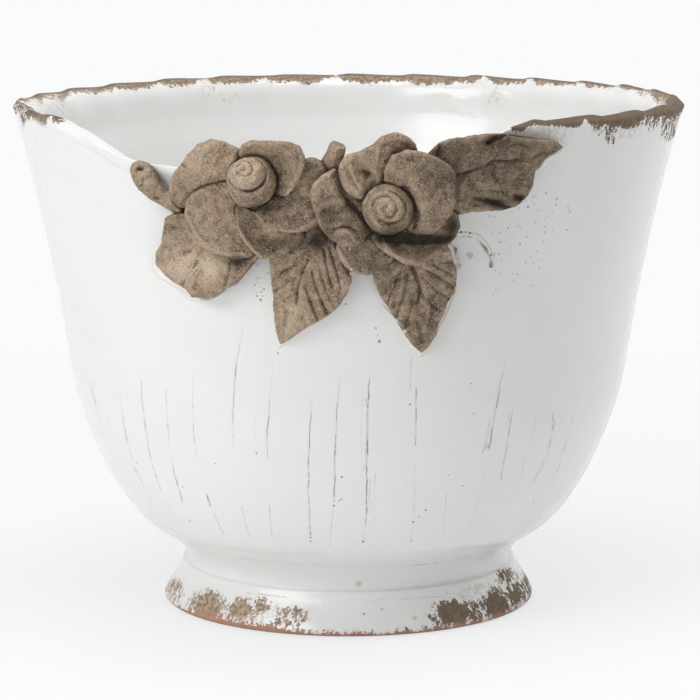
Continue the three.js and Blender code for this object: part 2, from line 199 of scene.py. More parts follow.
# Numbers on points: noise, distances and curves
def value_noise(points, size, seed):
    """Smooth noise from -1 to 1 at points, with lumps of the given size"""
    table = np.random.default_rng(seed).uniform(-1, 1, (32, 32, 32))
    p = points / size
    cell = np.floor(p).astype(int)
    t = p - cell
    t = t * t * (3 - 2 * t)
    total = np.zeros(len(p))
    for corner in np.ndindex(2, 2, 2):
        c = np.array(corner)
        weight = np.prod(np.where(c, t, 1 - t), axis=1)
        i, j, k = ((cell + c) % 32).T
        total += weight * table[i, j, k]
    return total


def smooth_step(x, low, high):
    """0 below low, 1 above high and a smooth rise between them"""
    t = np.clip((x - low) / (high - low), 0, 1)
    return t * t * (3 - 2 * t)


def hann(reach):
    """Weights that fall off smoothly over reach places to each side"""
    kernel = np.hanning(2 * reach + 3)[1:-1]
    return kernel / kernel.sum()


def photo_px(points):
    """Where points in millimetres fall in the photograph, in pixels"""
    pitch = math.radians(CAMERA_PITCH)
    rel = points - np.array([CAMERA_SIDE, AXIS_Y - CAMERA_BACK, CAMERA_UP])
    depth = rel[:, 1] * math.cos(pitch) - rel[:, 2] * math.sin(pitch)
    up = rel[:, 1] * math.sin(pitch) + rel[:, 2] * math.cos(pitch)
    scale = FOCAL_PX / depth
    return np.column_stack([FRAME_PX / 2 + rel[:, 0] * scale, FRAME_PX / 2 - up * scale])


def to_camera(co):
    """The direction from each point to the picture's camera"""
    way = np.array([CAMERA_SIDE, AXIS_Y - CAMERA_BACK, CAMERA_UP]) - co
    return way / np.linalg.norm(way, axis=1)[:, None]


def facing(co, normals):
    """Share of each point's normal that looks at the picture's camera"""
    return np.sum(normals * to_camera(co), axis=1)


def line_distance(px, line):
    """How far each pixel place lies from a line of points, the signed distance to the nearest stretch,
    and the line's last value there"""
    best = np.full(len(px), np.inf)
    side = np.full(len(px), np.inf)
    value = np.zeros(len(px))
    for start, end in zip(line[:-1], line[1:]):
        a, b = np.array(start[:2], float), np.array(end[:2], float)
        along = b - a
        t = np.clip(((px - a) @ along) / (along @ along), 0, 1)
        gap = px - a - t[:, None] * along
        far = np.hypot(gap[:, 0], gap[:, 1])
        cross = (along[0] * gap[:, 1] - along[1] * gap[:, 0]) / np.hypot(*along)
        nearer = far < best
        best = np.where(nearer, far, best)
        side = np.where(nearer, cross, side)
        value = np.where(nearer, start[-1] + t * (end[-1] - start[-1]), value)
    return best, side, value


def curve_through(points, step):
    """Points every step along a smooth curve through the given ones, however uneven their spacing"""
    gap = np.linalg.norm(np.diff(points, axis=0), axis=1)
    slope = np.diff(points, axis=0) / gap[:, None]
    inner = (slope[:-1] * gap[1:, None] + slope[1:] * gap[:-1, None]) / (gap[1:] + gap[:-1])[:, None]
    tangent = np.vstack([slope[:1], inner, slope[-1:]])
    parts = []
    for i, h in enumerate(gap):
        t = np.linspace(0, 1, max(2, int(h / step)), endpoint=False)[:, None]
        a, b = points[i], points[i + 1]
        parts.append(a * (2 * t**3 - 3 * t**2 + 1) + b * (3 * t**2 - 2 * t**3)
                     + h * tangent[i] * (t**3 - 2 * t**2 + t) + h * tangent[i + 1] * (t**3 - t**2))
    return np.vstack(parts + [points[-1:]])


# Outlines of the turned nodes
def back_profile(node):
    """The loop of (radius, height) points where a turned node's mesh crosses the plane behind its axis"""
    mesh = frame["nodes"][node].data
    co = np.array([v.co for v in mesh.vertices]) / MM
    co[:, 1] -= AXIS_Y
    behind = (np.abs(co[:, 0]) < 0.01) & (co[:, 1] > 0)
    spot = [tuple(np.round(p[1:], 2)) for p in co]
    joined = {}
    for edge in mesh.edges:
        a, b = edge.vertices
        if behind[a] and behind[b] and spot[a] != spot[b]:
            joined.setdefault(spot[a], set()).add(spot[b])
            joined.setdefault(spot[b], set()).add(spot[a])
    loop = [min(joined, key=lambda p: (p[1], -p[0]))]
    loop.append(max(joined[loop[0]], key=lambda p: p[1]))
    while True:
        ahead = [p for p in joined[loop[-1]] if p != loop[-2]]
        if ahead[0] == loop[0]:
            return np.array(loop)
        loop.append(ahead[0])


def split_sides(loop, longest=5):
    """The loop with points added along its long straight sides, which keeps a curve through it on them"""
    parts = []
    for a, b in zip(loop, np.roll(loop, -1, axis=0)):
        length = np.linalg.norm(b - a)
        count = math.ceil(length / longest) if length > LONG_SIDE else 1
        parts.append(a + (b - a) * np.arange(count)[:, None] / count)
    return np.vstack(parts)


def rounded(loop, corner=math.radians(40), step=0.3):
    """A smooth closed outline through a loop of points that keeps its sharp corners"""
    loop = split_sides(loop)
    ring = np.vstack([loop[-1:], loop, loop[:1]])
    side = np.diff(ring, axis=0)
    angle = np.unwrap(np.arctan2(side[:, 1], side[:, 0]))
    sharp = [0] + [i for i in range(1, len(loop)) if abs(angle[i + 1] - angle[i]) > corner]
    parts = []
    for start, end in zip(sharp, sharp[1:] + [sharp[0] + len(loop)]):
        stretch = np.array([loop[k % len(loop)] for k in range(start, end + 1)])
        parts.append(curve_through(stretch, step)[:-1])
    return np.vstack(parts)


def soften(outline, reach, keep):
    """Averages a closed outline over neighbours, reach points to each side, except where keep holds"""
    out = outline.copy()
    for axis in (0, 1):
        wrapped = np.concatenate([outline[-reach:, axis], outline[:, axis], outline[:reach, axis]])
        out[:, axis] = np.convolve(wrapped, hann(reach), "valid")
    out[keep] = outline[keep]
    return out


def spaced(outline, spacing):
    """The outline again with points as far apart as spacing says at each place"""
    ring = np.vstack([outline, outline[:1]])
    step = np.linalg.norm(np.diff(ring, axis=0), axis=1)
    need = np.concatenate([[0], np.cumsum(step / spacing)])
    want = np.arange(math.ceil(need[-1])) / math.ceil(need[-1]) * need[-1]
    return np.column_stack([np.interp(want, need, ring[:, 0]), np.interp(want, need, ring[:, 1])])


def columns():
    """Angles round the axis from the front, closer together where the picture looks"""
    front = np.linspace(-FRONT_HALF, FRONT_HALF, FRONT_COLUMNS, endpoint=False)
    back = np.linspace(FRONT_HALF, 2 * math.pi - FRONT_HALF, BACK_COLUMNS, endpoint=False)
    return np.concatenate([front, back])


def wrap(turn):
    """The same angles, in radians, between half a turn back and half a turn on"""
    return (turn + math.pi) % (2 * math.pi) - math.pi


def turned_grid(rows):
    """Angle, radius and height at every row and column"""
    turn, radius = np.meshgrid(columns(), rows[:, 0])
    return turn, radius, np.repeat(rows[:, 1:], turn.shape[1], axis=1)


def grid_noise(turn, height, size, seed):
    """Smooth noise from -1 to 1 round a turned grid, with lumps of the given size"""
    spot = np.stack([NOISE_RADIUS * np.sin(turn), NOISE_RADIUS * np.cos(turn), height], axis=-1)
    return value_noise(spot.reshape(-1, 3), size, seed).reshape(turn.shape)


def turned_mesh(name, radius, turn, height):
    """A closed mesh over a grid of rows and columns given as radius, turn and height"""
    rows, cols = radius.shape
    co = np.stack([radius * np.sin(turn), AXIS_Y - radius * np.cos(turn), height], axis=-1).reshape(-1, 3)
    i, j = np.meshgrid(np.arange(rows), np.arange(cols), indexing="ij")
    up = (i + 1) % rows
    on = (j + 1) % cols
    faces = np.stack([i * cols + j, i * cols + on, up * cols + on, up * cols + j], axis=-1).reshape(-1, 4)
    mesh = bpy.data.meshes.new(name)
    mesh.from_pydata((co * MM).tolist(), [], faces.tolist())
    mesh.shade_smooth()
    return mesh, co


# Meshes and pieces
def points_of(mesh):
    """The mesh's points in millimetres"""
    co = np.empty(len(mesh.vertices) * 3)
    mesh.vertices.foreach_get("co", co)
    return co.reshape(-1, 3) / MM


def normals_of(mesh):
    """The mesh's normals at its points"""
    out = np.empty(len(mesh.vertices) * 3)
    mesh.vertex_normals.foreach_get("vector", out)
    return out.reshape(-1, 3)


def set_points(mesh, co):
    """Moves the mesh's points to places in millimetres"""
    mesh.vertices.foreach_set("co", (co * MM).ravel())
    mesh.update()


def store(mesh, name, values):
    """Keeps a number on each point, for the material to read"""
    attribute = mesh.attributes.new(name, "FLOAT", "POINT")
    attribute.data.foreach_set("value", np.asarray(values, np.float32))


def piece(name, mesh, slot, *nodes):
    """A piece of the object that stands for its CAD nodes"""
    obj = bpy.data.objects.new(name, mesh)
    bpy.context.scene.collection.objects.link(obj)
    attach(obj, "root")
    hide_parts(*nodes)
    return obj


# Marks on the glaze where the photograph shows them, in its pixels. Scratches: (right, down, darkness)
SCRATCHES = [
    [(91, 385, 0.5), (95.5, 404, 0.4), (104, 440, 0.15)],
    [(105, 399, 0.1), (112.5, 442, 0.2)],
    [(117.5, 359, 0.1), (119.5, 385, 0.1)],
    [(120, 398, 0.35), (123.5, 424, 0.35), (125.5, 433, 0.7), (127, 440, 0.7)],
    [(128.5, 447, 0.4), (132, 458, 0.4)],
    [(135.5, 470, 0.45), (142, 483, 0.45)],
    [(145, 489, 0.15), (153, 504, 0.15)],
    [(141, 381, 0.4), (142.5, 405, 0.4), (144, 418, 0.7), (149, 452, 0.45), (153, 468, 0.5),
     (160, 488, 0.45)],
    [(165, 500, 0.2), (179, 523, 0.15)],
    [(166, 391, 0.3), (168, 424, 0.5), (170, 449, 0.3), (172, 462, 0.3), (175.5, 477, 0.95),
     (178, 486, 0.6), (182, 500, 0.6)],
    [(193, 374, 0.1), (192.5, 391, 0.4), (193, 420, 0.4), (194, 437, 0.5), (196.5, 456, 0.4)],
    [(205.5, 491, 0.2), (207.5, 498, 1.0), (209.5, 503.5, 1.0)],
    [(213, 512, 0.3), (222.5, 532, 0.4)],
    [(243, 331, 0.2), (239, 349, 0.4), (236, 368, 0.8), (234.5, 384, 0.5), (233, 414, 0.5),
     (233, 437, 0.35), (234, 454, 0.1)],
    [(242.5, 509, 0.45), (248.5, 535, 0.3)],
    [(256, 405, 0.2), (255.5, 440, 0.2)],
    [(272.5, 364, 0.15), (270.5, 393, 0.25), (268.5, 416, 0.7), (267.5, 437, 0.6), (267.5, 455, 0.45)],
    [(269.5, 508, 0.5), (272, 535, 0.3)],
    [(312, 401, 0.5), (310, 435, 0.6), (308.5, 460, 0.9), (308.5, 489, 0.6), (310, 519, 0.5),
     (310.5, 535, 0.7)],
    [(341, 377, 0.2), (337, 409, 0.7), (335, 450, 0.8), (334.3, 500, 0.75)],
    [(333, 513, 0.35), (330, 545, 0.25)],
    [(371, 368, 0.15), (368.5, 387, 0.8), (368, 419, 0.9), (367, 468, 0.85), (366.5, 508, 0.8),
     (365.5, 528, 0.4), (363.5, 540, 0.35)],
    [(375, 476, 0.3), (374, 520, 0.2)],
    [(362.5, 400, 0.15), (362, 468, 0.15)],
    [(411.5, 360, 0.3), (410.5, 387, 0.35)],
    [(416, 391, 0.8), (416, 417, 0.7), (415.5, 443, 0.65)],
    [(415, 464, 0.15), (414, 508, 0.25), (411.5, 540, 0.2)],
    [(450, 421, 0.12), (450, 456, 0.15)],
    [(446.5, 497, 0.3), (444.5, 531, 0.15)],
    [(506.5, 358, 0.2), (500.5, 383, 0.4), (497.5, 401, 0.8), (493.5, 421, 0.8), (489.5, 447, 0.75)],
    [(490, 418, 0.3), (484, 450, 0.5)],
    [(485, 476, 0.2), (476, 512, 0.3), (471, 526, 0.15)],
    [(514, 405, 0.4), (510, 427, 0.6), (506.5, 449, 0.5), (501.5, 477, 0.6)],
    [(509, 415, 0.2), (504, 429, 0.2)],
    [(535.5, 417, 0.3), (531.5, 441, 0.2), (524.5, 458, 0.2), (521, 478, 0.25)],
    [(553.5, 415, 0.5), (551.5, 435, 0.5), (546.5, 453, 0.4), (540.5, 468, 0.45), (534.5, 480, 0.4)],
    [(555.5, 419, 0.3), (549, 451, 0.3), (543, 468, 0.2)],
    [(576, 406, 0.15), (568, 437, 0.35), (564, 450, 0.3), (558, 468, 0.3), (552, 483, 0.4)],
    [(515, 492, 0.15), (507, 508, 0.15)],
]
# Lines cut into the wall beside the right flower: the arc of a tendril and its broken root
TENDRILS = [
    [(452, 237, 0.25), (466, 236, 0.45), (477, 239, 0.3), (485, 248, 0.9), (490, 258, 0.4), (491, 265, 1.0)],
    [(452, 245, 0.5), (456, 250, 1.0), (457, 258, 0.6), (459, 263, 0.3)],
]
FOOT_SCRATCHES = [
    [(370, 600, 0.15), (400, 599, 0.3), (436, 597, 0.35), (462, 592, 0.2)],
    [(249, 593, 0.4), (267, 595, 0.6), (285, 597, 0.4)],
    [(415.6, 565, 0.5), (440, 562.5, 0.45), (461, 559, 0.35), (480, 553, 0.15), (497, 545, 0.1)],
    [(236, 549, 0.12), (262, 553, 0.15)],
]
# Pits of (right, down, radius) in the glaze
DOTS = [
    (137, 463, 0.9), (182.5, 486.5, 0.9), (189.8, 521, 1.1), (256.4, 453.4, 0.9), (310.6, 533.5, 1.1),
    (310.7, 541.4, 1.1), (334, 505.6, 1.2), (341.9, 477, 1.0), (341.9, 499, 0.7), (363.2, 541.6, 1.4),
    (410, 404.5, 1.0), (413.4, 522, 1.3), (411.4, 540.5, 0.8), (425.9, 510, 1.1), (462.8, 486, 0.8),
    (470.8, 383.4, 0.7), (473.9, 413.6, 0.7), (448.6, 475, 0.7), (533.6, 502, 0.9), (540.6, 516.8, 0.9),
    (379.5, 341.3, 1.6), (278, 353, 0.8), (215, 463.5, 0.7), (261, 300, 1.0), (257, 296, 0.8),
    (264, 289, 0.9), (255, 285, 0.8), (346, 304, 0.9), (376, 328, 0.9), (152, 127, 2.0), (491, 255, 1.5),
    (461, 232, 1.4), (470, 233, 1.3), (528, 207, 1.2), (556, 205, 0.9), (570, 212, 0.9), (546, 193, 0.9),
    (567, 230, 0.9), (520, 244, 0.9), (508, 228, 0.9), (545, 232, 0.8), (557, 198, 0.8), (568, 206, 0.7),
    (499, 254, 0.8),
]
FOOT_DOTS = [(359, 584, 3.6, 0.0), (415, 618, 2.4, 0.0), (364, 614, 1.3, 0.9), (382, 609, 1.4, 0.1)]
# Broken blisters of (right, down, radius right, radius down)
PITS = [(470, 255, 3.2, 3.8), (457.5, 266, 3.6, 3.8)]
# Fine dark specks: (right, down, radius right, radius down, how many)
SPECKLED = [(515, 240, 45, 70, 1), (285, 290, 50, 25, 0.9)]
# Beads of glaze that ran together along the leaves
BEADS = [
    [(452, 234, 1), (466, 233, 1), (479, 236, 1), (488, 246, 1), (493, 258, 1), (493, 266, 0.6)],
    [(457, 290, 1), (452, 303, 1), (447, 315, 1), (439, 330, 1), (430, 347, 1), (422, 354.5, 1),
     (411, 345, 0.8), (403, 330, 0.7), (394, 318, 0.6), (384, 308, 0.5)],
    [(152, 256, 0.6), (151, 267, 1), (157, 275, 1), (169, 282, 1), (180, 289, 1), (187, 297, 1),
     (197, 301, 1), (211, 301, 0.8), (225, 292, 0.5)],
    [(352, 268, 0.4), (345, 290, 0.8), (332, 307, 0.9), (312, 324, 0.9), (292, 339, 1), (280, 346, 1),
     (275, 332, 0.7)],
    [(511, 134, 0.9), (525, 136, 0.9), (541, 138, 1), (557, 139, 1), (566, 145, 1), (561, 153, 1),
     (548, 158, 0.8), (541, 168, 0.5)],
]
# Lower edges of the bare clay along the lip, near and far: (right, down)
NEAR_EDGE = [
    (8, 108), (12, 111), (15, 117), (17.5, 111), (20, 113), (22.6, 125), (25, 123), (27.2, 118),
    (33.3, 116.4), (37.9, 121), (44, 124.8), (47.8, 120.2), (50.9, 118), (54, 121), (57.8, 124),
    (61.6, 120.4), (66.5, 120), (69, 60), (508, 60), (510, 131), (513.6, 131.7), (524, 130), (535, 124.6),
    (548, 125.5), (571, 127), (580, 126.5), (583, 121), (585.6, 118), (589, 124), (593, 127), (596, 127),
    (603, 126), (606, 126), (608, 128), (611, 129), (613, 129), (616, 127), (620, 126), (625, 130),
    (632, 127), (642, 123), (645, 118), (651, 120), (657.5, 117), (664, 119), (667, 120), (669, 122),
    (671, 120), (672.5, 117), (674, 124), (677, 117), (690, 112),
]
FAR_EDGE = [
    (8, 112), (22.2, 104), (28, 103.4), (29.5, 100), (36.4, 100), (42.5, 103.4), (43.3, 97.6), (58.6, 97.6),
    (66.2, 98.8), (68.5, 93.4), (81.5, 91.7), (91.5, 93.8), (96.8, 92.3), (108.3, 90), (112, 91.5),
    (115, 88), (121, 88.5), (130, 89.5), (140, 89), (150, 87.5), (155, 84.5), (163, 83.5), (166, 86),
    (185, 85.5), (195, 84.5), (198, 80), (203, 78.5), (209, 79.5), (212, 84), (235, 83), (249.5, 83.4),
    (258, 80.3), (267, 78), (269.5, 81), (277, 82.2), (291.7, 81.5), (304.7, 84), (316, 81.8),
    (325.4, 79.5), (339, 75), (340.7, 80.3), (363.6, 82.6), (369, 84.6), (376, 81.5), (403.5, 81),
    (405, 78.8), (418.8, 84.6), (446.3, 84.6), (454, 83), (464.7, 81.8), (475, 83), (478, 78.5),
    (484, 76.5), (489, 80), (495, 84), (525, 83), (529, 79.5), (533, 79), (537, 85.5), (545, 84.5),
    (576, 84.5), (580, 81.5), (583, 82), (586, 86.5), (600, 87), (611, 88), (614, 85.5), (617, 84.5),
    (620, 87.5), (632, 90.5), (643, 93.5), (647, 91.5), (650, 91), (653, 98), (657, 103), (660, 101),
    (666, 103), (672, 106), (690, 110),
]
# Worn or stained places: (right, down, radius right, radius down, most margin in pixels)
STAINS = [
    (54, 107, 13, 8, 3), (34, 104, 12, 5, 2), (206, 89, 9, 7, 2.5), (229, 96, 9, 6, 2),
    (495, 98, 6, 9, 1.5), (540, 134, 27, 9, 8), (525, 141, 20, 5, 3), (262, 262, 8, 5, 3),
    (18, 124, 8, 20, 2.4), (672, 125, 10, 16, 2), (625, 131, 24, 7, 1.5),
]
RIM_PATCHES = [(611, 131, 5, 11, 0.4), (598, 125, 5, 8, 0.2), (669, 124, 6, 16, 0.5), (650, 119, 8, 8, 0.2)]
FOOT_PATCHES = [
    (208, 605, 17, 14, 9), (240, 610, 13, 11, 6), (260, 607, 9, 7, 5), (290, 617, 15, 9, 0.6),
    (175, 590, 7, 9, 1), (453, 613, 21, 13, 9), (496, 605, 13, 15, 6), (478, 611, 12, 9, 1.5),
    (516, 595, 8, 13, 7), (506, 576, 9, 6, 1.5), (528, 586, 6, 18, 1),
]
FOOT_STAINS = [(235, 612, 60, 14, 3), (175, 591, 10, 13, 3), (490, 602, 46, 18, 3), (506, 577, 14, 9, 2)]
BOWL_MARKS = (STAINS, SCRATCHES, TENDRILS, BEADS, DOTS, PITS, SPECKLED)
FOOT_MARKS = (FOOT_STAINS, FOOT_SCRATCHES, [], [], FOOT_DOTS, [], [])


def oval_margin(px, ovals):
    """How far inside the nearest oval each pixel place lies, in pixels and below 0 outside; an oval's
    fifth value is the most that it gives"""
    best = np.full(len(px), -NO_LINE)
    for x, y, wide, high, *most in ovals:
        inside = (1 - np.hypot((px[:, 0] - x) / wide, (px[:, 1] - y) / high)) * min(wide, high)
        best = np.maximum(best, np.minimum(inside, *most) if most else inside)
    return best


def spots(px, ovals):
    """The sum of soft ovals of (right, down, radius right, radius down, value) at each pixel place"""
    total = np.zeros(len(px))
    for right, down, wide, high, value in ovals:
        total += value * np.exp(-((px[:, 0] - right) / wide) ** 2 - ((px[:, 1] - down) / high) ** 2)
    return total


def edge_margin(px, edge):
    """How far above a line across the picture each pixel place lies, in millimetres"""
    right, down = np.array(edge).T
    return (np.interp(px[:, 0], right, down) - px[:, 1]) / PX_MM


def mark_lines(mesh, px, faces_camera, lines, name):
    """Stores how far each point lies from the nearest line, on which side of it, and how dark the line is"""
    reach = np.full(len(px), NO_LINE)
    side = np.full(len(px), NO_LINE)
    dark = np.zeros(len(px))
    for line in lines:
        far, cross, value = line_distance(px, line)
        nearer = far < reach
        reach = np.where(nearer, far, reach)
        side = np.where(nearer, cross, side)
        dark = np.where(nearer, value, dark)
    store(mesh, name + "_reach", np.where(faces_camera, reach / PX_MM, NO_LINE))
    store(mesh, name + "_side", np.where(faces_camera, side / PX_MM, NO_LINE))
    store(mesh, name + "_dark", dark)


def mark_dots(mesh, co, px, faces_camera, dots):
    """Stores where the nearest pit lies on the surface from each point, and how wide it is"""
    front = np.flatnonzero(faces_camera)
    place = np.full(co.shape, NO_DOT)
    size = np.zeros(len(co))
    dark = np.zeros(len(co))
    best = np.full(len(co), np.inf)
    for right, down, radius, *tone in dots:
        shift = px[front] - (right, down)
        near = np.argsort(np.hypot(*shift.T))[:8]
        flat = np.column_stack([shift[near], np.ones(len(near))])
        spot = np.linalg.lstsq(flat, co[front[near]], rcond=None)[0][2]
        far = np.linalg.norm(co - spot, axis=1)
        nearer = far < best
        best = np.where(nearer, far, best)
        place[nearer] = spot
        size[nearer] = radius / PX_MM
        dark[nearer] = tone[0] if tone else 1
    attribute = mesh.attributes.new("dot", "FLOAT_VECTOR", "POINT")
    attribute.data.foreach_set("vector", place.astype(np.float32).ravel())
    store(mesh, "dot_size", size)
    store(mesh, "dot_dark", dark)


def store_ovals(mesh, name, px, ovals, seen):
    """Stores how far inside an oval each seen point lies, in millimetres"""
    inside = np.clip(oval_margin(px, ovals) / PX_MM, -STAIN_REACH, STAIN_REACH)
    store(mesh, name, np.where(seen, inside, -STAIN_REACH))


def mark_glaze(mesh, co, px, front, stained, marks):
    """Stores where the glaze is scratched, cut, beaded, pitted and speckled, and where it is stained"""
    stains, scratches, cuts, beads, dots, pits, specks = marks
    store_ovals(mesh, "stain", px, stains, stained)
    for name, lines in (("scratch", scratches), ("cut", cuts), ("bead", beads)):
        mark_lines(mesh, px, front, lines, name)
    mark_dots(mesh, co, px, front, dots)
    store_ovals(mesh, "pit", px, pits, front)
    store(mesh, "speckled", np.where(front, spots(px, specks), 0))


def ragged_edge(co, seed):
    """Unevenness of the line where glaze gives way to bare clay"""
    return value_noise(co, size=5, seed=seed) + 0.7 * value_noise(co, size=2.2, seed=seed + 1)


# Thrown bowl
def rim_drop():
    """How far the rim is let down at each angle, with the pinches averaged out"""
    co = points_of(frame["nodes"]["bowl"].data)
    co[:, 1] -= AXIS_Y
    turn = np.round(np.degrees(np.arctan2(co[:, 0], -co[:, 1])), 1)
    angles = np.unique(turn[np.hypot(co[:, 0], co[:, 1]) > 100])
    top = np.array([co[turn == a, 2].max() for a in angles])
    even = (top + np.roll(top, 1) + np.roll(top, -1)) / 3
    return np.radians(angles), even.max() - even


def rim_fall(turn):
    """How far the rim lies below its highest place, with the left side let down"""
    angles, drop = rim_drop()
    middle, half, most = LEFT_SAG
    sag = most * np.exp(-(wrap(turn - middle) / half) ** 4)
    return np.interp(turn, angles, drop, period=2 * math.pi) + sag


def bowl_rows():
    """The bowl's outline in rows, their distance from the lip's crest, below 0 outside, and the outside"""
    outline = rounded(back_profile("bowl"))
    crest = int(np.argmax(outline[:, 1]))
    neck = outline[:, 1] < outline[0, 1] + BOWL_SEAT
    outline = soften(outline, reach=5, keep=neck)
    arc = np.concatenate([[0], np.cumsum(np.linalg.norm(np.diff(outline, axis=0), axis=1))])
    depth = arc - arc[crest]
    high = outline[:, 1] > BELLY_TOP
    spacing = np.full(len(outline), COARSE_STEP)
    spacing[(depth < 0) & high] = WALL_STEP
    spacing[(depth < 0) & ~high] = BELLY_STEP
    spacing[(depth > 0) & (depth < INSIDE_ZONE)] = WALL_STEP
    spacing[np.abs(depth) < LIP_ZONE] = FINE_STEP
    spacing[outline[:, 0] < DRAIN_EDGE] = WALL_STEP
    rows = spaced(outline, spacing)
    nearest = [np.argmin(np.hypot(*(outline - row).T)) for row in rows]
    return rows, depth[nearest], outline[:crest]


def pinches(turn):
    """Each angle's place along its pinch, from 0 to 1, and the pinch's height there, from -1 to 1"""
    phase = ((turn - math.pi) * PINCHES / (2 * math.pi)) % 1
    steep = 1 - smooth_step(phase, 0, PINCH_STEEP)
    gentle = smooth_step(phase, PINCH_STEEP, 1)
    return phase, np.where(phase < PINCH_STEEP, steep, gentle) * 2 - 1


def lip_push(turn, depth, near_rim, uneven, lumpy):
    """How far the rolled lip stands out of the wall, more so and in lumps where it is soft"""
    soft = np.exp(-((wrap(turn) - SOFT_LIP[0]) / SOFT_LIP[1]) ** 2)
    reach, wide = LIP_ROLL
    further, wider = SOFT_ROLL
    reach = reach + further * soft + wider * soft * uneven
    roll = np.exp(-((np.abs(depth) - reach) / (wide + wider * soft)) ** 2)
    push = np.where(depth < 0, 1, -0.6) * roll * LIP_SWELL * (0.45 + 1.3 * soft) * (1 + 0.4 * uneven)
    return push + np.where(depth < 0, 2.6, -1.0) * soft * near_rim * lumpy


def bowl_mesh():
    """The bowl's mesh and points, with the angle, the depth below the crest and the place along a pinch"""
    rows, row_depth, wall = bowl_rows()
    turn, r0, z0 = turned_grid(rows)
    depth = np.repeat(row_depth[:, None], turn.shape[1], axis=1)
    phase, shape = pinches(turn)
    uneven = grid_noise(turn, z0, size=21, seed=3)
    share = smooth_step(z0, HEIGHT - DIP_REACH, HEIGHT)
    near_rim = smooth_step(z0, HEIGHT - RIM_REACH, HEIGHT)
    pinched = near_rim * PINCH_HEIGHT * (shape * (0.8 + 0.5 * uneven) - 0.2)
    height = z0 - share * rim_fall(turn) + pinched
    moved, still = (np.interp(z, wall[:, 1], wall[:, 0]) for z in (height, z0))
    radius = r0 + moved - still
    radius += near_rim * PINCH_PUSH * np.roll(shape, PINCH_LAG, axis=1)
    radius += lip_push(turn, depth, near_rim, uneven, grid_noise(turn, z0, size=9, seed=4))
    bulk = smooth_step(r0, *BULK_RADII)
    rings = np.sin(2 * math.pi * height / RING_STEP + 1.5 * grid_noise(turn, z0, size=50, seed=5))
    radius += bulk * RING_DEPTH * rings * smooth_step(height, *RING_HEIGHTS)
    lumps = grid_noise(turn, z0, size=LUMP_SIZE, seed=7)
    radius += bulk * LUMP_DEPTH * lumps * smooth_step(height, *LUMP_HEIGHTS)
    mesh, co = turned_mesh("bowl_glaze", radius, turn, height)
    return mesh, co, turn.ravel(), depth.ravel(), phase.ravel()


def bare_rim(co, px, turn, depth, phase, near_lip, far_lip):
    """How far inside the worn brown band of the rim each point lies, and inside its patches"""
    low, high = BARE_RIM
    gap = np.maximum(low - turn, turn - high)
    band = RIM_BAND * smooth_step(gap, -0.01, 0.05)
    ragged = ragged_edge(co, seed=11)
    place, wide, long = DRIPS
    uneven = 0.6 + value_noise(co * [1, 1, 0], size=25, seed=13)
    drips = np.exp(-((phase - place) / wide) ** 2) * long * uneven
    margin = band - np.abs(depth) + ragged - np.where(depth < 0, 0, drips)
    patches = oval_margin(px, RIM_PATCHES) / PX_MM
    margin = np.where(near_lip, np.maximum(edge_margin(px, NEAR_EDGE) + 0.3 * ragged, patches), margin)
    margin = np.where(far_lip, edge_margin(px, FAR_EDGE) + 0.3 * ragged, margin)
    broken = 0.6 + 9 * smooth_step(px[:, 0], *BROKEN_TIP)
    return np.where(near_lip | far_lip, np.minimum(margin, broken), margin), patches


def make_bowl():
    """The glazed bowl"""
    mesh, co, turn, depth, phase = bowl_mesh()
    px = photo_px(co)
    look = facing(co, normals_of(mesh))
    turn = wrap(turn)
    near_front = (depth < 0) & (look > 0.05)
    far = np.abs(turn) >= math.pi / 2
    near_lip = ~far & (look > FACES_CAMERA) & (depth < LIP_PAST) & (depth > -LIP_SEEN)
    far_lip = far & (look > FACES_CAMERA) & (depth > -LIP_PAST) & (depth < LIP_SEEN)
    margin, patches = bare_rim(co, px, turn, depth, phase, near_lip, far_lip)
    store(mesh, "bare", np.clip(margin, -EDGE_REACH, EDGE_REACH))
    store(mesh, "kiln", np.zeros(len(co)))
    middle, half = PALE_TIP
    pale = np.where(far_lip, 0.65, 0.12) + 0.45 * np.exp(-((px[:, 0] - middle) / half) ** 2)
    store(mesh, "pale", pale * smooth_step(np.abs(depth), 0.2, 3))
    fray = 1.6 + 1.6 * smooth_step(px[:, 0], *FRAYED_LEFT) + 2.2 * smooth_step(px[:, 0], *FRAYED_RIGHT)
    store(mesh, "fray", np.where(patches > -0.6, 3, fray))
    mark_glaze(mesh, co, px, near_front, near_front | far_lip | near_lip, BOWL_MARKS)
    return piece("glazed_bowl", mesh, "glaze", "bowl")


# Thrown foot
def wall_line():
    """Radius and height up the outside of the bowl"""
    loop = back_profile("bowl")
    return loop[:np.argmax(loop[:, 1])]


def with_fillet(outline):
    """The foot's outline with the slip that fills the corner under the bowl"""
    wide, tall = FOOT_FILLET
    top = outline[:, 1].max()
    neck = outline[outline[:, 1] > top - 1, 0].max()
    wall = wall_line()
    t = np.linspace(0, 1, 30)
    radius = neck + wide * t ** 2
    under = np.interp(radius, wall[:, 0], wall[:, 1])
    height = top - tall + (under - top + tall) * (1 - (1 - t) ** 2) + FILLET_RIDE * t ** 4
    inward = np.array([neck, top]) + FILLET_ROOT
    start = np.flatnonzero((outline[:, 0] > neck - 1) & (outline[:, 1] > top - tall))
    first, last = start[0], start[-1]
    return np.vstack([outline[:first], np.column_stack([radius, height]), inward, outline[last + 1:]])


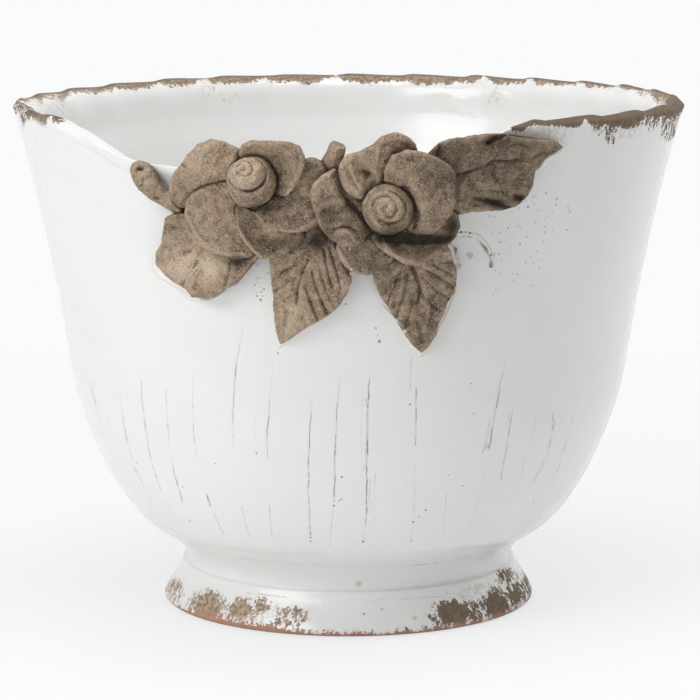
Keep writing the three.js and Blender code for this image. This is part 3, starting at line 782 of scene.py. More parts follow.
def foot_mesh():
    """The foot's mesh and points"""
    outline = rounded(back_profile("foot_ring"))
    top = outline[:, 1] > outline[:, 1].max() - FOOT_SEAT
    outline = with_fillet(soften(outline, reach=4, keep=top))
    outer = outline[:, 0] > outline[:, 0].min() + RING_WIDTH
    turn, radius, height = turned_grid(spaced(outline, np.where(outer, FOOT_STEP, UNDER_STEP)))
    free = smooth_step(height, *FOOT_START) * (1 - smooth_step(height, *FOOT_END))
    radius = radius + free * FOOT_LUMP * grid_noise(turn, height, size=18, seed=21)
    return turned_mesh("foot_glaze", radius, turn, height)


def make_foot():
    """The glazed foot"""
    mesh, co = foot_mesh()
    px = photo_px(co)
    front = facing(co, normals_of(mesh)) > FACES_CAMERA
    ragged = ragged_edge(co, seed=22)
    behind = 3.2 * value_noise(co, size=24, seed=24) - 1.6 - 0.12 * co[:, 2] + 0.7 * ragged
    margin = np.where(front, oval_margin(px, FOOT_PATCHES) / PX_MM + 0.5 * ragged, behind)
    middle, half = SCORCHED
    scorched = np.where(front, np.exp(-((px[:, 0] - middle) / half) ** 4), 0)
    edge = 1.8 + 2.4 * scorched + 0.5 * ragged - co[:, 2]
    store(mesh, "bare", np.clip(np.maximum(margin, edge), -EDGE_REACH, EDGE_REACH))
    store(mesh, "kiln", 1 - smooth_step(co[:, 2] + 0.6 * ragged - 2.4 * scorched, 1.6, 4))
    store(mesh, "pale", np.where(px[:, 0] < FRAME_PX / 2, 1.0, 0.15))
    store(mesh, "fray", np.where(co[:, 2] < 2.5, 1.6, 3.4))
    mark_glaze(mesh, co, px, front, front, FOOT_MARKS)
    return piece("glazed_foot", mesh, "glaze", "foot_ring")


# Clay flowers, leaves and stems
def voxel_mesh(node):
    """The node's mesh over again as an even skin of small squares"""
    source = frame["nodes"][node]
    copy = bpy.data.objects.new("voxels", source.data.copy())
    bpy.context.scene.collection.objects.link(copy)
    modifier = copy.modifiers.new("voxels", "REMESH")
    modifier.mode = "VOXEL"
    modifier.voxel_size = VOXEL * MM
    bpy.context.view_layer.update()
    mesh = bpy.data.meshes.new_from_object(copy.evaluated_get(bpy.context.evaluated_depsgraph_get()))
    bpy.data.objects.remove(copy)
    mesh.name = node + "_clay"
    mesh.materials.clear()
    return mesh


def neighbours(mesh):
    """The two points of each edge"""
    edges = np.empty(len(mesh.edges) * 2, int)
    mesh.edges.foreach_get("vertices", edges)
    return edges.reshape(-1, 2)


def average(values, edges, count):
    """The mean of each point's neighbours"""
    total = np.zeros((count, values.shape[1]))
    for a, b in ((0, 1), (1, 0)):
        for axis in range(values.shape[1]):
            total[:, axis] += np.bincount(edges[:, a], values[edges[:, b], axis], count)
    degree = np.bincount(edges.ravel(), minlength=count)
    return total / np.maximum(degree, 1)[:, None]


# What fingers and tools pressed into the clay, seen in the photograph: for each node, strokes of
# (width in pixels, rise in millimetres, places in pixels); a rise below 0 is a groove
STROKES = {
    "rose_left_petal_top_left": [
        (6, 0.9, [(171, 190), (170, 178), (177, 163), (190, 149), (202, 141), (214, 139), (226, 142),
                  (237, 152)]),
        (15, -1.2, [(192, 178), (205, 168), (220, 160)]),
        (3, -1.2, [(180, 163), (186, 167)]),
    ],
    "rose_left_petal_lower_left": [
        (2.2, -0.7, [(203, 181), (197, 188), (194, 194)]),
        (2.2, -0.6, [(196, 183), (191, 192), (187, 200)]),
        (4.5, 1.0, [(224, 176), (212, 178), (199, 182), (189, 190), (185, 204), (189, 220), (200, 239),
                    (214, 250), (235, 254), (257, 256)]),
        (24, -1.4, [(205, 200), (214, 216), (226, 232)]),
        (6, -0.6, [(212, 192), (218, 206), (222, 220)]),
    ],
    "rose_left_petal_bottom": [
        (4, 1.3, [(235, 209), (234, 220), (240, 231), (249, 244), (260, 256)]),
        (4, 0.8, [(268, 262), (280, 258), (295, 250), (304, 238)]),
        (15, -1.4, [(252, 224), (263, 236), (276, 244)]),
        (2.5, -1.0, [(293, 251), (300, 248)]),
    ],
    "rose_left_petal_right": [
        (4, 1.2, [(256, 216), (266, 226), (279, 231), (293, 232), (306, 227), (319, 218), (329, 210)]),
        (14, -1.3, [(273, 212), (290, 212), (306, 202)]),
        (4, 0.7, [(309, 152), (320, 158), (328, 166)]),
    ],
    "rose_left_petal_top": [
        (4, 1.2, [(305, 146), (308, 158), (305, 172), (300, 184), (292, 193), (283, 196)]),
        (4, 0.7, [(235, 142), (244, 138), (258, 139), (280, 143), (297, 142), (306, 148)]),
        (20, -1.6, [(262, 156), (277, 164), (286, 178)]),
    ],
    "rose_left_centre": [
        (2.6, -1.0, [(232.7, 165.6), (227.6, 174.8), (231.6, 184), (239.6, 189.7), (250, 190.9),
                     (259, 187.4), (265, 180.5), (266, 172.5), (262.6, 165.6), (256.8, 161)]),
        (2.4, -0.9, [(232.7, 165.6), (237, 162), (243.5, 160.5), (250.5, 164), (252.5, 170.2), (249.5, 175),
                     (243, 176), (237.5, 173)]),
        (2.2, -0.9, [(236, 168), (239.6, 165), (244.2, 166), (245.4, 169.6), (241, 170.2)]),
        (4, 0.5, [(236, 186), (246, 195), (258, 193), (268, 184)]),
    ],
    "bud_stem": [
        (4.5, -2.2, [(140, 170), (142, 170)]),
        (3, 0.8, [(134, 168), (140, 163), (148, 167), (148, 174), (141, 177), (134, 172)]),
        (4, -1.0, [(155, 197), (159, 198)]),
        (9, 1.0, [(152, 186), (160, 196), (170, 203)]),
    ],
    "leaf_left": [
        (7, -0.8, [(169, 228), (180, 227), (191, 231)]),
        (3, -0.5, [(165.3, 247), (174.5, 249.4)]),
        (4, -0.7, [(183.7, 252.5), (190, 251.5)]),
        (3, -0.7, [(197.4, 256.3), (204.3, 248)]),
        (4, -0.8, [(197.5, 261.7), (190, 272), (183, 284)]),
        (3, -0.5, [(203.5, 270), (195, 285.4)]),
        (3, -0.4, [(212, 272), (206, 290)]),
        (4, -1.0, [(230, 262), (230, 270), (225.7, 285.4)]),
        (5, 0.7, [(193, 262), (187, 272), (180, 282)]),
        (5, 0.7, [(204, 262), (197, 276), (189, 288)]),
        (8, 0.7, [(220, 262), (214, 280), (208, 292)]),
        (5, 0.6, [(162, 240), (160, 250), (158, 262)]),
    ],
    "leaf_middle": [
        (3.4, -1.3, [(308, 260), (302, 275), (298, 288), (297, 303)]),
        (3.4, -0.8, [(296, 264), (284, 272), (274, 279)]),
        (3.4, -0.8, [(296, 278), (285, 285), (275, 291)]),
        (3, -0.6, [(297, 292), (286, 299), (276, 304)]),
        (3, -1.2, [(324, 250), (327, 268), (332, 287)]),
        (3, -1.2, [(329, 247), (335, 266), (341, 288)]),
        (3, -1.2, [(336, 243), (342, 258), (349, 275)]),
        (3, -1.2, [(312, 272), (318, 292), (327, 313)]),
        (3, -1.1, [(305, 286), (311, 303), (318, 321)]),
        (3, -0.7, [(318, 262), (324, 284), (334, 306)]),
        (4, 0.7, [(291, 262), (280, 268), (272, 273)]),
        (4, 0.7, [(292, 283), (281, 290), (275, 296)]),
        (4, 0.6, [(302, 300), (296, 318), (288, 338)]),
    ],
    "rose_right_centre": [
        (2.4, -0.9, [(372.9, 205.6), (376.4, 199.5), (383.6, 196.4), (390.7, 198.5), (394.8, 204.6),
                     (395.3, 211.7), (391.7, 217.3), (386.6, 216.8)]),
        (2.6, -1.1, [(389.7, 191.3), (398.9, 196.4), (404.5, 204.6), (405, 212.8), (398.9, 219.9),
                     (390.7, 223), (382.6, 221.9), (379, 220)]),
        (2.0, -0.6, [(383.5, 207), (385.5, 205.5), (387.5, 207.5), (385.6, 209.5), (383.5, 208)]),
        (3.4, 0.6, [(376, 204), (380, 212), (388, 220)]),
    ],
    "rose_right_petal_top": [
        (4.5, 0.9, [(338, 160), (345, 148), (358, 146), (371, 145), (378, 136), (388, 132), (400, 134),
                    (412, 142), (419, 150)]),
        (7, -2.6, [(364, 171), (368, 174)]),
        (4, -1.5, [(375, 139.5), (370.5, 145.4), (362, 148.5)]),
        (4.5, 0.8, [(341, 166), (346, 178), (354, 189), (362, 197)]),
        (3, -0.9, [(349, 170), (353, 180), (358, 188)]),
        (5, 0.8, [(350, 158), (354, 178), (362, 192)]),
        (5, 0.8, [(379, 148), (376, 164), (379, 180)]),
        (3, -0.7, [(384, 146), (396, 140), (408, 146)]),
    ],
    "rose_right_petal_right": [
        (5, 0.7, [(383, 180), (386, 164), (394, 156), (410, 151), (427, 155), (445, 163), (455, 175),
                  (457, 190), (456, 209), (446, 225), (434, 233)]),
        (6, -1.8, [(404, 188), (412, 200), (417, 213), (415, 227)]),
        (9, 0.9, [(412, 184), (424, 205), (426, 224)]),
        (14, -0.8, [(436, 176), (444, 196)]),
    ],
    "rose_right_petal_left": [
        (4, 1.0, [(311, 190), (320, 180), (332, 173)]),
        (5, 0.9, [(315, 210), (328, 204), (342, 202)]),
        (9, -1.3, [(325, 216), (338, 218), (350, 222)]),
        (3, 1.3, [(319, 220), (325, 231), (331, 239)]),
        (4, 1.6, [(331, 239), (338, 234), (348, 232), (354, 239)]),
        (3, -1.3, [(334, 229), (346, 227), (356, 231)]),
        (6, -1.8, [(334.6, 174), (339.7, 188.3), (349.9, 202.6), (362.1, 216.8), (371.3, 229.1)]),
        (2.6, -0.9, [(348.9, 234.2), (356, 243.4)]),
    ],
    "rose_right_petal_lower_left": [
        (3.6, 1.0, [(338, 248), (346, 262), (357, 272), (371, 276), (387, 272), (402, 264), (409, 260)]),
        (12, -1.2, [(352, 252), (370, 258), (390, 256)]),
    ],
    "rose_right_petal_lower_right": [
        (4, 1.6, [(385, 241), (390, 250), (400, 256), (413, 261), (427, 265), (437, 262), (447, 252),
                  (452, 240)]),
        (11, -2.2, [(402, 245), (418, 249), (436, 244)]),
        (4, 0.7, [(455, 218), (461, 226), (456, 236)]),
    ],
    "leaf_right": [
        (3.2, -1.3, [(457, 174.6), (474.6, 169.6), (485, 166), (494, 160.7), (507.7, 160.7), (516.6, 158)]),
        (3.2, -1.5, [(506, 135), (494, 138.4), (487, 143)]),
        (4, 1.2, [(504, 132), (491, 134.5), (480, 139)]),
        (2.4, -0.8, [(526.4, 145.5), (515.7, 144), (508.6, 145.5), (504, 151), (507, 158)]),
        (2.4, -0.9, [(440, 145.5), (436, 155.4)]),
        (5, -1.8, [(474.6, 198), (492.5, 201.8), (508.6, 208)]),
        (4.5, -1.8, [(514.8, 195.5), (522.9, 200)]),
        (3, -0.6, [(490.7, 189.3), (504, 192)]),
        (2.2, -0.5, [(519.3, 173.7), (534.5, 173.7)]),
        (2.2, -0.45, [(516.6, 178.6), (528, 178.6)]),
        (2.2, -0.45, [(523.8, 161.6), (539, 160.7)]),
        (2.2, -0.5, [(461, 183), (465, 177.7)]),
        (2.2, -0.5, [(464, 186.6), (468.4, 180.4)]),
        (3, 0.6, [(459.5, 203), (470, 206), (480, 208.5)]),
        (9, 0.9, [(466, 158), (480, 153), (494, 148)]),
        (8, 0.9, [(500, 170), (515, 168), (530, 165)]),
        (7, 0.8, [(478, 182), (495, 184), (514, 186)]),
        (5, 0.6, [(487, 195), (502, 198), (515, 203)]),
    ],
    "leaf_lower_right": [
        (5, -1.4, [(412, 268), (419, 284), (418, 302)]),
        (3, -1.1, [(426, 269), (442, 279), (453, 287)]),
        (3, -1.1, [(433, 264), (452, 275)]),
        (3, -1.0, [(422, 277), (439, 292), (449, 299)]),
        (3, -0.8, [(420, 290), (431, 304), (440, 311)]),
        (3, -0.8, [(402, 267), (394, 287), (387, 304)]),
        (3, -0.8, [(408, 274), (403, 295), (397, 316)]),
        (3, -0.8, [(414, 292), (410, 310), (406, 327)]),
        (5, 0.8, [(404, 282), (398, 300)]),
        (5, 0.8, [(425, 290), (428, 312), (424, 330)]),
    ],
}
# Clay painted paler where light falls on it and darker in shadow under and between the petals: (right, down,
# radius right, radius down, paler above 0 and darker below)
CLAY_LIGHT_AND_SHADE = [
    (182, 265, 32, 28, 1.7), (212, 272, 14, 16, 1.2), (203, 238, 20, 16, 0.3), (196, 158, 26, 20, 1.0),
    (245, 170, 15, 13, 1.4), (250, 184, 15, 8, 0.5), (262, 150, 28, 12, 0.7), (290, 318, 24, 34, 1.4),
    (330, 265, 14, 18, 0.35), (352, 165, 22, 24, 1.1), (360, 192, 8, 10, 1.0), (388, 203, 11, 11, 1.2),
    (385, 168, 12, 14, 0.6), (148, 178, 18, 18, 0.9), (342, 150, 10, 10, 0.6), (225, 200, 50, 50, 0.4),
    (440, 212, 16, 14, 0.5), (415, 197, 7, 12, 0.5), (300, 185, 12, 18, 0.4), (320, 180, 12, 12, 0.5),
    (277, 225, 16, 8, 0.4), (415, 255, 22, 8, 0.5), (250, 160, 60, 40, 0.2), (468, 190, 12, 12, 0.3),
    (505, 165, 48, 34, -0.3), (500, 142, 26, 9, -0.4), (442, 172, 20, 18, -0.35), (325, 208, 14, 14, -0.5),
    (320, 240, 13, 12, -1.3), (398, 238, 26, 6, -1.8), (432, 240, 22, 5, -1.6), (452, 226, 8, 10, -1.2),
    (362, 250, 16, 8, -0.4), (262, 208, 26, 5, -1.0), (282, 199, 9, 6, -0.9), (392, 227, 17, 5, -0.5),
    (425, 322, 20, 30, -0.2), (282, 243, 22, 8, -0.7), (272, 160, 8, 8, -0.4), (409, 206, 5, 14, -0.4),
    (496, 203, 17, 5, -0.9), (519, 198, 7, 4, -1.0), (373, 266, 20, 9, -0.5), (350, 205, 6, 12, -0.6),
    (366, 173, 5, 5, -0.5), (187, 242, 10, 6, -0.7), (184, 252, 4, 4, -0.9), (180, 228, 13, 4, -0.6),
    (237, 262, 13, 7, -1.2), (201, 252, 5, 5, -0.6), (235, 207, 6, 8, -0.4), (457, 192, 3, 20, -0.9),
    (438, 152, 4, 6, -0.6), (250, 197, 14, 5, -0.6),
]
# Clay that fired pinkish: (right, down, radius right, radius down, how much)
CLAY_PINK = [
    (342, 149, 12, 9, 0.8), (221, 208, 18, 16, 0.6), (215, 150, 22, 10, 0.45), (257, 262, 9, 5, 1.5),
    (320, 165, 14, 12, 0.6), (300, 222, 22, 8, 0.35), (386, 205, 9, 9, 0.5), (345, 165, 10, 16, 0.4),
    (185, 258, 24, 24, 0.3), (440, 195, 14, 20, 0.35), (450, 155, 16, 12, 0.4), (400, 268, 20, 8, 0.3),
]
# Smears of glaze on the clay, and chips of white glaze at its edges
CLAY_GLOSS = [(259, 172, 5, 9), (274, 160, 8, 5), (352, 199, 3, 4), (325, 231, 2, 3)]
CLAY_GLAZE = [
    (385, 306, 2.2, 3), (396.5, 321, 2.4, 3), (404.5, 332, 2, 2.6), (351.5, 272, 1.5, 7),
    (349.5, 249, 2, 1.5),
]


def off_wall(co):
    """How far each point lies off the bowl's outside"""
    wall = wall_line()
    return np.hypot(co[:, 0], co[:, 1] - AXIS_Y) - np.interp(co[:, 2], wall[:, 1], wall[:, 0])


def cavities(clouds):
    """How deep each point of each cloud lies below the clay's front around it, averaged at two widths"""
    places = []
    for co in clouds:
        turn = np.arctan2(co[:, 0], AXIS_Y - co[:, 1])
        places.append(np.column_stack([(turn + 1) * LAYOUT_RADIUS, co[:, 2]]).astype(int))
    height = [off_wall(co) for co in clouds]
    shape = (2 * LAYOUT_RADIUS, int(HEIGHT) + LAYOUT_SPARE)
    front = np.zeros(shape)
    np.maximum.at(front, tuple(np.vstack(places).T), np.concatenate(height))
    filled = (front > 0).astype(float)
    depth = [np.zeros(len(co)) for co in clouds]
    for reach, share in CAVITY_WIDTHS:
        mean = blurred(front, reach) / np.maximum(blurred(filled, reach), 1e-6)
        for total, place, off in zip(depth, places, height):
            total += share * (mean[tuple(place.T)] - off)
    return depth


def blurred(grid, reach):
    """The grid averaged over reach places to each side"""
    for axis in (0, 1):
        grid = np.apply_along_axis(np.convolve, axis, grid, hann(reach), "same")
    return grid


def sculpt(co, normals, strokes):
    """Moves the points that face the camera towards it by each stroke's rise, most at its line, and
    gives each point's share of the ridges (above 0) and grooves (below 0) that are narrow"""
    px = photo_px(co)
    rise = np.zeros(len(co))
    marks = np.zeros(len(co))
    for width, height, line in strokes:
        far = line_distance(px, smooth_line(line))[0]
        rise += height * np.clip(1 - (far / width) ** 2, 0, 1) ** 2
        if width <= NARROW_STROKE:
            marks += height * np.clip(1 - (far / (MARK_SHARE * width)) ** 2, 0, 1)
    way = to_camera(co)
    share = smooth_step(np.sum(normals * way, axis=1), 0.0, 0.5)
    return co + way * (rise * share)[:, None], marks * share


def smooth_line(line):
    """The line again, bent smoothly through its points"""
    return curve_through(np.array(line, float), STROKE_STEP) if len(line) > 2 else line


def clay_mesh(node):
    """The node's mesh as pressed and swollen clay, with what its material reads"""
    mesh = voxel_mesh(node)
    edges = neighbours(mesh)
    co = points_of(mesh)
    count = len(co)
    for pull in EVENING:
        co += pull * (average(co, edges, count) - co)
    set_points(mesh, co)
    co, marks = sculpt(co, normals_of(mesh), STROKES.get(node, []))
    set_points(mesh, co)
    normals = normals_of(mesh)
    co += normals * SWELL
    for i, (size, depth) in enumerate(CLAY_LUMPS):
        co += normals * (depth * value_noise(co, size, seed=31 + i))[:, None]
    set_points(mesh, co)
    px = photo_px(co)
    # line: narrow ridges above 0 and grooves below 0, painted lighter and darker as highlight and shade
    store(mesh, "line", marks)
    # tone: painted light above 0 and painted shade below 0
    store(mesh, "tone", spots(px, CLAY_LIGHT_AND_SHADE))
    store(mesh, "pink", spots(px, CLAY_PINK))
    store(mesh, "gloss", np.clip(oval_margin(px, CLAY_GLOSS), -STAIN_REACH, STAIN_REACH) / PX_MM)
    creep = CREEP - off_wall(co) + 0.5 * value_noise(co, size=4, seed=41)
    coated = np.maximum(creep, oval_margin(px, CLAY_GLAZE) / PX_MM)
    store(mesh, "coated", np.clip(coated, -STAIN_REACH, STAIN_REACH))
    bend = np.sum((average(co, edges, count) - co) * normals_of(mesh), axis=1)[:, None]
    for _ in range(BEND_ROUNDS):
        bend = average(bend, edges, count)
    # hollow: how the clay bends, painted darker as shade in hollows and lighter on bulges
    store(mesh, "hollow", bend[:, 0] / BEND_DEPTH)
    mesh.shade_smooth()
    return mesh


def make_clay(nodes):
    """The clay pieces, each with its distance from the others"""
    meshes = {node: clay_mesh(node) for node in nodes}
    everything = [(node, p) for node, mesh in meshes.items() for p in points_of(mesh)[::JOINT_SAMPLE]]
    tree = KDTree(len(everything))
    for i, (_, p) in enumerate(everything):
        tree.insert(p, i)
    tree.balance()
    pieces = []
    depths = cavities([points_of(mesh) for mesh in meshes.values()])
    for (node, mesh), depth in zip(meshes.items(), depths):
        # cavity: how deep the clay lies below its surroundings, painted darker as shade
        store(mesh, "cavity", depth)
        others = []
        for p in points_of(mesh):
            hits = tree.find_range(p, JOINT_REACH)
            others.append(min([far for _, i, far in hits if everything[i][0] != node], default=JOINT_REACH))
        # joint: distance to the nearest other piece, which the material paints darker as shade
        store(mesh, "joint", others)
        pieces.append(piece(node + "_piece", mesh, "bare_clay", node))
    return pieces


# Materials: pairs of colours that a noise mixes
WHITES = ((0.79, 0.79, 0.775), (0.84, 0.84, 0.83))
BROWNS = ((0.085, 0.058, 0.036), (0.21, 0.155, 0.105))
TANS = ((0.27, 0.19, 0.13), (0.5, 0.4, 0.3))
REDS = ((0.32, 0.15, 0.1), (0.58, 0.36, 0.26))
CLAYS = ((0.15, 0.105, 0.068), (0.29, 0.22, 0.15))
DOT_COLOURS = ((0.6, 0.52, 0.38), (0.12, 0.1, 0.085))
CHIP_COLOUR = (0.76, 0.74, 0.69)
# Coats over them: how strong, and their colour
GLAZE_COATS = {
    "thin": (0.35, (0.66, 0.6, 0.54)),
    "stain": (0.45, (0.5, 0.41, 0.35)),
    "bead": (0.5, (0.85, 0.8, 0.68)),
    "halo": (0.3, (0.6, 0.52, 0.45)),
    "line": (0.85, (0.17, 0.12, 0.09)),
    "cut": (0.85, (0.16, 0.14, 0.12)),
    "pit": (0.45, (0.3, 0.27, 0.24)),
    "speck": (0.45, (0.2, 0.17, 0.15)),
}
CLAY_COATS = {
    "tint": (0.5, (0.27, 0.165, 0.125)),
    "mottle": (0.5, (0.37, 0.277, 0.188)),
    # painted light: paler and brighter clay where it is lit
    "pale": (0.8, (0.58, 0.445, 0.315)),
    "bright": (0.8, (0.8, 0.65, 0.49)),
    # lighter on bulges and on clay that stands out of its surroundings
    "worn": (0.5, (0.48, 0.365, 0.255)),
    # painted shade in hollows and recesses
    "painted_shade": (0.8, (0.055, 0.038, 0.024)),
    "dark": (0.6, (0.075, 0.053, 0.036)),
    "rubbed": (0.45, (0.58, 0.44, 0.315)),
    "grit": (0.7, (0.68, 0.54, 0.4)),
    "crack": (0.6, (0.06, 0.042, 0.028)),
    # painted highlight on narrow ridges and painted shade in narrow grooves
    "ridge": (0.5, (0.55, 0.425, 0.3)),
    "groove": (0.65, (0.05, 0.035, 0.024)),
    "sand": (0.75, (0.66, 0.55, 0.44)),
    "fine sand": (0.5, (0.6, 0.48, 0.38)),
    # painted shadow under and between the petals
    "painted_shadow": (0.88, (0.022, 0.017, 0.011)),
    # painted shade where pieces meet
    "joint": (0.75, (0.045, 0.03, 0.02)),
}
PINK_COLOUR = (0.34, 0.19, 0.145)
PINK_STRENGTH = 0.75


class Shader:
    """A material's nodes, written as short calls; lengths in millimetres"""

    def __init__(self, name, coats=None):
        self.material = bpy.data.materials.new(name)
        self.material.use_nodes = True
        self.tree = self.material.node_tree
        self.surface = self.tree.nodes["Principled BSDF"]
        self.coats = coats
        self.colour = None
        place = self.tree.nodes.new("ShaderNodeTexCoord").outputs["Object"]
        self.place = self.node("VectorMath", {0: place, "Scale": 1 / MM}, operation="SCALE")

    def node(self, kind, inputs, output=0, **settings):
        node = self.tree.nodes.new("ShaderNode" + kind)
        for key, value in settings.items():
            setattr(node, key, value)
        for key, value in inputs.items():
            self.feed(node.inputs[key], value)
        return node.outputs[output]

    def feed(self, socket, value):
        if isinstance(value, bpy.types.NodeSocket):
            self.tree.links.new(value, socket)
        else:
            socket.default_value = value

    def math(self, operation, *values):
        return self.node("Math", dict(enumerate(values)), operation=operation)

    def times(self, a, b):
        return self.math("MULTIPLY", a, b)

    def plus(self, a, b):
        return self.math("ADD", a, b)

    def minus(self, a, b):
        return self.math("SUBTRACT", a, b)

    def most(self, a, b):
        return self.math("MAXIMUM", a, b)

    def attribute(self, name, output="Fac"):
        return self.node("Attribute", {}, output, attribute_name=name)

    def noise(self, size, detail=3.0, stretch=(1, 1, 1), shift=0.0):
        scale = tuple(s / size for s in stretch)
        place = self.node("VectorMath", {0: self.place, 1: scale}, operation="MULTIPLY")
        place = self.node("VectorMath", {0: place, 1: (shift, shift, shift)}, operation="ADD")
        return self.node("TexNoise", {"Vector": place, "Scale": 1.0, "Detail": detail})

    def step(self, value, low, high):
        ends = {"Value": value, "From Min": low, "From Max": high}
        return self.node("MapRange", ends, interpolation_type="SMOOTHSTEP")

    def patches(self, size, detail, shift, low=0.4, high=0.6):
        """A noise drawn out to the full range from 0 to 1"""
        return self.step(self.noise(size, detail, shift=shift), low, high)

    def mix(self, share, a, b):
        node = self.tree.nodes.new("ShaderNodeMix")
        node.data_type = "RGBA"
        self.feed(node.inputs[0], share)
        self.feed(node.inputs[6], (*a, 1) if isinstance(a, tuple) else a)
        self.feed(node.inputs[7], (*b, 1) if isinstance(b, tuple) else b)
        return node.outputs[2]

    def coat(self, name, share):
        """Lays one of the material's coats over its colour where share is above 0"""
        strength, colour = self.coats[name]
        self.colour = self.mix(self.times(share, strength), self.colour, colour)

    def bump(self, height, distance, strength=1.0, normal=None):
        inputs = {"Height": height, "Distance": distance * MM, "Strength": strength}
        if normal is not None:
            inputs["Normal"] = normal
        return self.node("Bump", inputs)

    def finish(self, rough, normal):
        """Gives the surface its colour, roughness and normal"""
        self.feed(self.surface.inputs["Base Color"], self.colour)
        self.feed(self.surface.inputs["Roughness"], rough)
        self.feed(self.surface.inputs["Normal"], normal)
        return self.material


def line_marks(s, name, narrow, wide):
    """Broken lines along the stored ones, as wide as they are dark, and the stain beside them"""
    wander = s.times(s.minus(s.noise(8, 1), 0.5), 1.2)
    side = s.math("ABSOLUTE", s.plus(s.attribute(name + "_side"), wander))
    dark = s.attribute(name + "_dark")
    patchy = s.step(s.noise(3.4, 2, stretch=(1.6, 1.6, 0.5), shift=40.0), 0.4, 0.6)
    strength = s.times(dark, s.plus(0.25, s.times(patchy, 0.95)))
    near = s.math("LESS_THAN", s.attribute(name + "_reach"), 1.5)
    line = s.step(s.math("DIVIDE", side, s.plus(narrow, s.times(dark, wide))), 1.5, 0.4)
    stain = s.times(s.step(side, 1.2, 0.2), s.times(dark, dark))
    return s.times(s.times(line, near), strength), s.times(stain, near)


def bead_marks(s):
    """Beads of glaze along the stored lines"""
    bead = s.step(s.math("ABSOLUTE", s.attribute("bead_side")), 1.0, 0.2)
    near = s.math("LESS_THAN", s.attribute("bead_reach"), 1.2)
    return s.times(s.times(bead, s.attribute("bead_dark")), near)


def dot_marks(s):
    """Pits of the stored sizes"""
    away = s.node("VectorMath", {0: s.place, 1: s.attribute("dot", "Vector")}, "Value", operation="DISTANCE")
    away = s.plus(away, s.times(s.minus(s.noise(0.8, 2), 0.5), 0.5))
    return s.step(s.math("DIVIDE", away, s.most(s.attribute("dot_size"), 0.01)), 1.15, 0.6)


def speck_marks(s):
    """Fine dark specks where they are stored"""
    speck = s.node("TexVoronoi", {"Vector": s.place, "Scale": 0.32}, "Distance")
    where = s.plus(s.attribute("speckled"), s.times(s.noise(9, 2, shift=7.0), 0.6))
    return s.times(s.math("LESS_THAN", speck, 0.15), s.step(where, 0.55, 0.95))


def glaze_material():
    """White glaze, brown and red where it is worn off"""
    s = Shader("white_glaze", GLAZE_COATS)
    grain = s.plus(s.times(s.noise(1.2, 5), 0.5), s.times(s.noise(2.6, 4, (1, 1, 0.4), 8.0), 0.5))
    grain = s.minus(s.step(grain, 0.4, 0.6), 0.5)
    edge = s.plus(s.attribute("bare"), s.times(grain, s.attribute("fray")))
    bare = s.step(edge, -0.15, 0.25)
    line, halo = line_marks(s, "scratch", 0.1, 0.16)
    cut, _ = line_marks(s, "cut", 0.4, 0.5)
    bead, dot = bead_marks(s), dot_marks(s)
    pit = s.step(s.plus(s.attribute("pit"), s.times(grain, 0.8)), 0.0, 0.5)
    stain = s.step(s.plus(s.attribute("stain"), s.times(grain, 3.0)), -0.2, 1.4)
    s.colour = s.mix(s.noise(45, 2), *WHITES)
    s.coat("thin", s.step(edge, -1.8, 0.3))
    s.coat("stain", s.times(stain, s.patches(2.6, 4, 23.0)))
    brown = s.mix(s.noise(3.5, 5), *BROWNS)
    tan = s.mix(s.patches(1.8, 4, 61.0, 0.38, 0.62), *TANS)
    red = s.mix(s.noise(2.5, 4), *REDS)
    body = s.mix(s.attribute("kiln"), s.mix(s.attribute("pale"), brown, tan), red)
    s.colour = s.mix(bare, s.colour, body)
    for name, share in (("bead", bead), ("halo", halo), ("line", line), ("cut", cut)):
        s.coat(name, share)
    s.colour = s.mix(s.times(dot, 0.75), s.colour, s.mix(s.attribute("dot_dark"), *DOT_COLOURS))
    s.coat("pit", pit)
    s.coat("speck", speck_marks(s))
    rough = s.plus(s.times(bare, 0.7), s.plus(0.13, s.times(s.noise(30, 3), 0.08)))
    skin = s.bump(s.noise(14, 2), 0.35, 0.5)
    skin = s.bump(s.noise(4.5, 3, shift=12.0), 0.3, 0.5, skin)
    dents = s.plus(s.plus(bare, line), s.plus(pit, s.plus(cut, dot)))
    normal = s.bump(s.minus(s.times(bead, 2.0), dents), 0.3, 0.8, skin)
    return s.finish(rough, s.bump(s.times(bare, s.noise(0.5, 3)), 0.25, 0.7, normal))


def fired_tones_and_painted_light(s):
    """Coats of pinker clay where it fired so, and of paler and brighter clay as painted light where it is
    lit
    """
    s.coat("tint", s.step(s.noise(10, 3, shift=19.0), 0.52, 0.68))
    mottle = s.patches(1.7, 4, 31.0, 0.38, 0.62)
    s.coat("mottle", mottle)
    pink = s.times(s.attribute("pink"), s.patches(3.5, 3, 15.0))
    s.colour = s.mix(s.math("MINIMUM", s.times(pink, PINK_STRENGTH), 1.0), s.colour, PINK_COLOUR)
    # Painted light: paler and brighter coats where the tone marks the clay as lit
    pale = s.math("MINIMUM", s.most(s.attribute("tone"), 0.0), 1.0)
    s.coat("pale", s.times(pale, s.plus(0.55, s.times(s.patches(2.2, 4, 44.0, 0.38, 0.6), 0.45))))
    s.coat("bright", s.step(s.attribute("tone"), 0.9, 1.9))
    return mottle


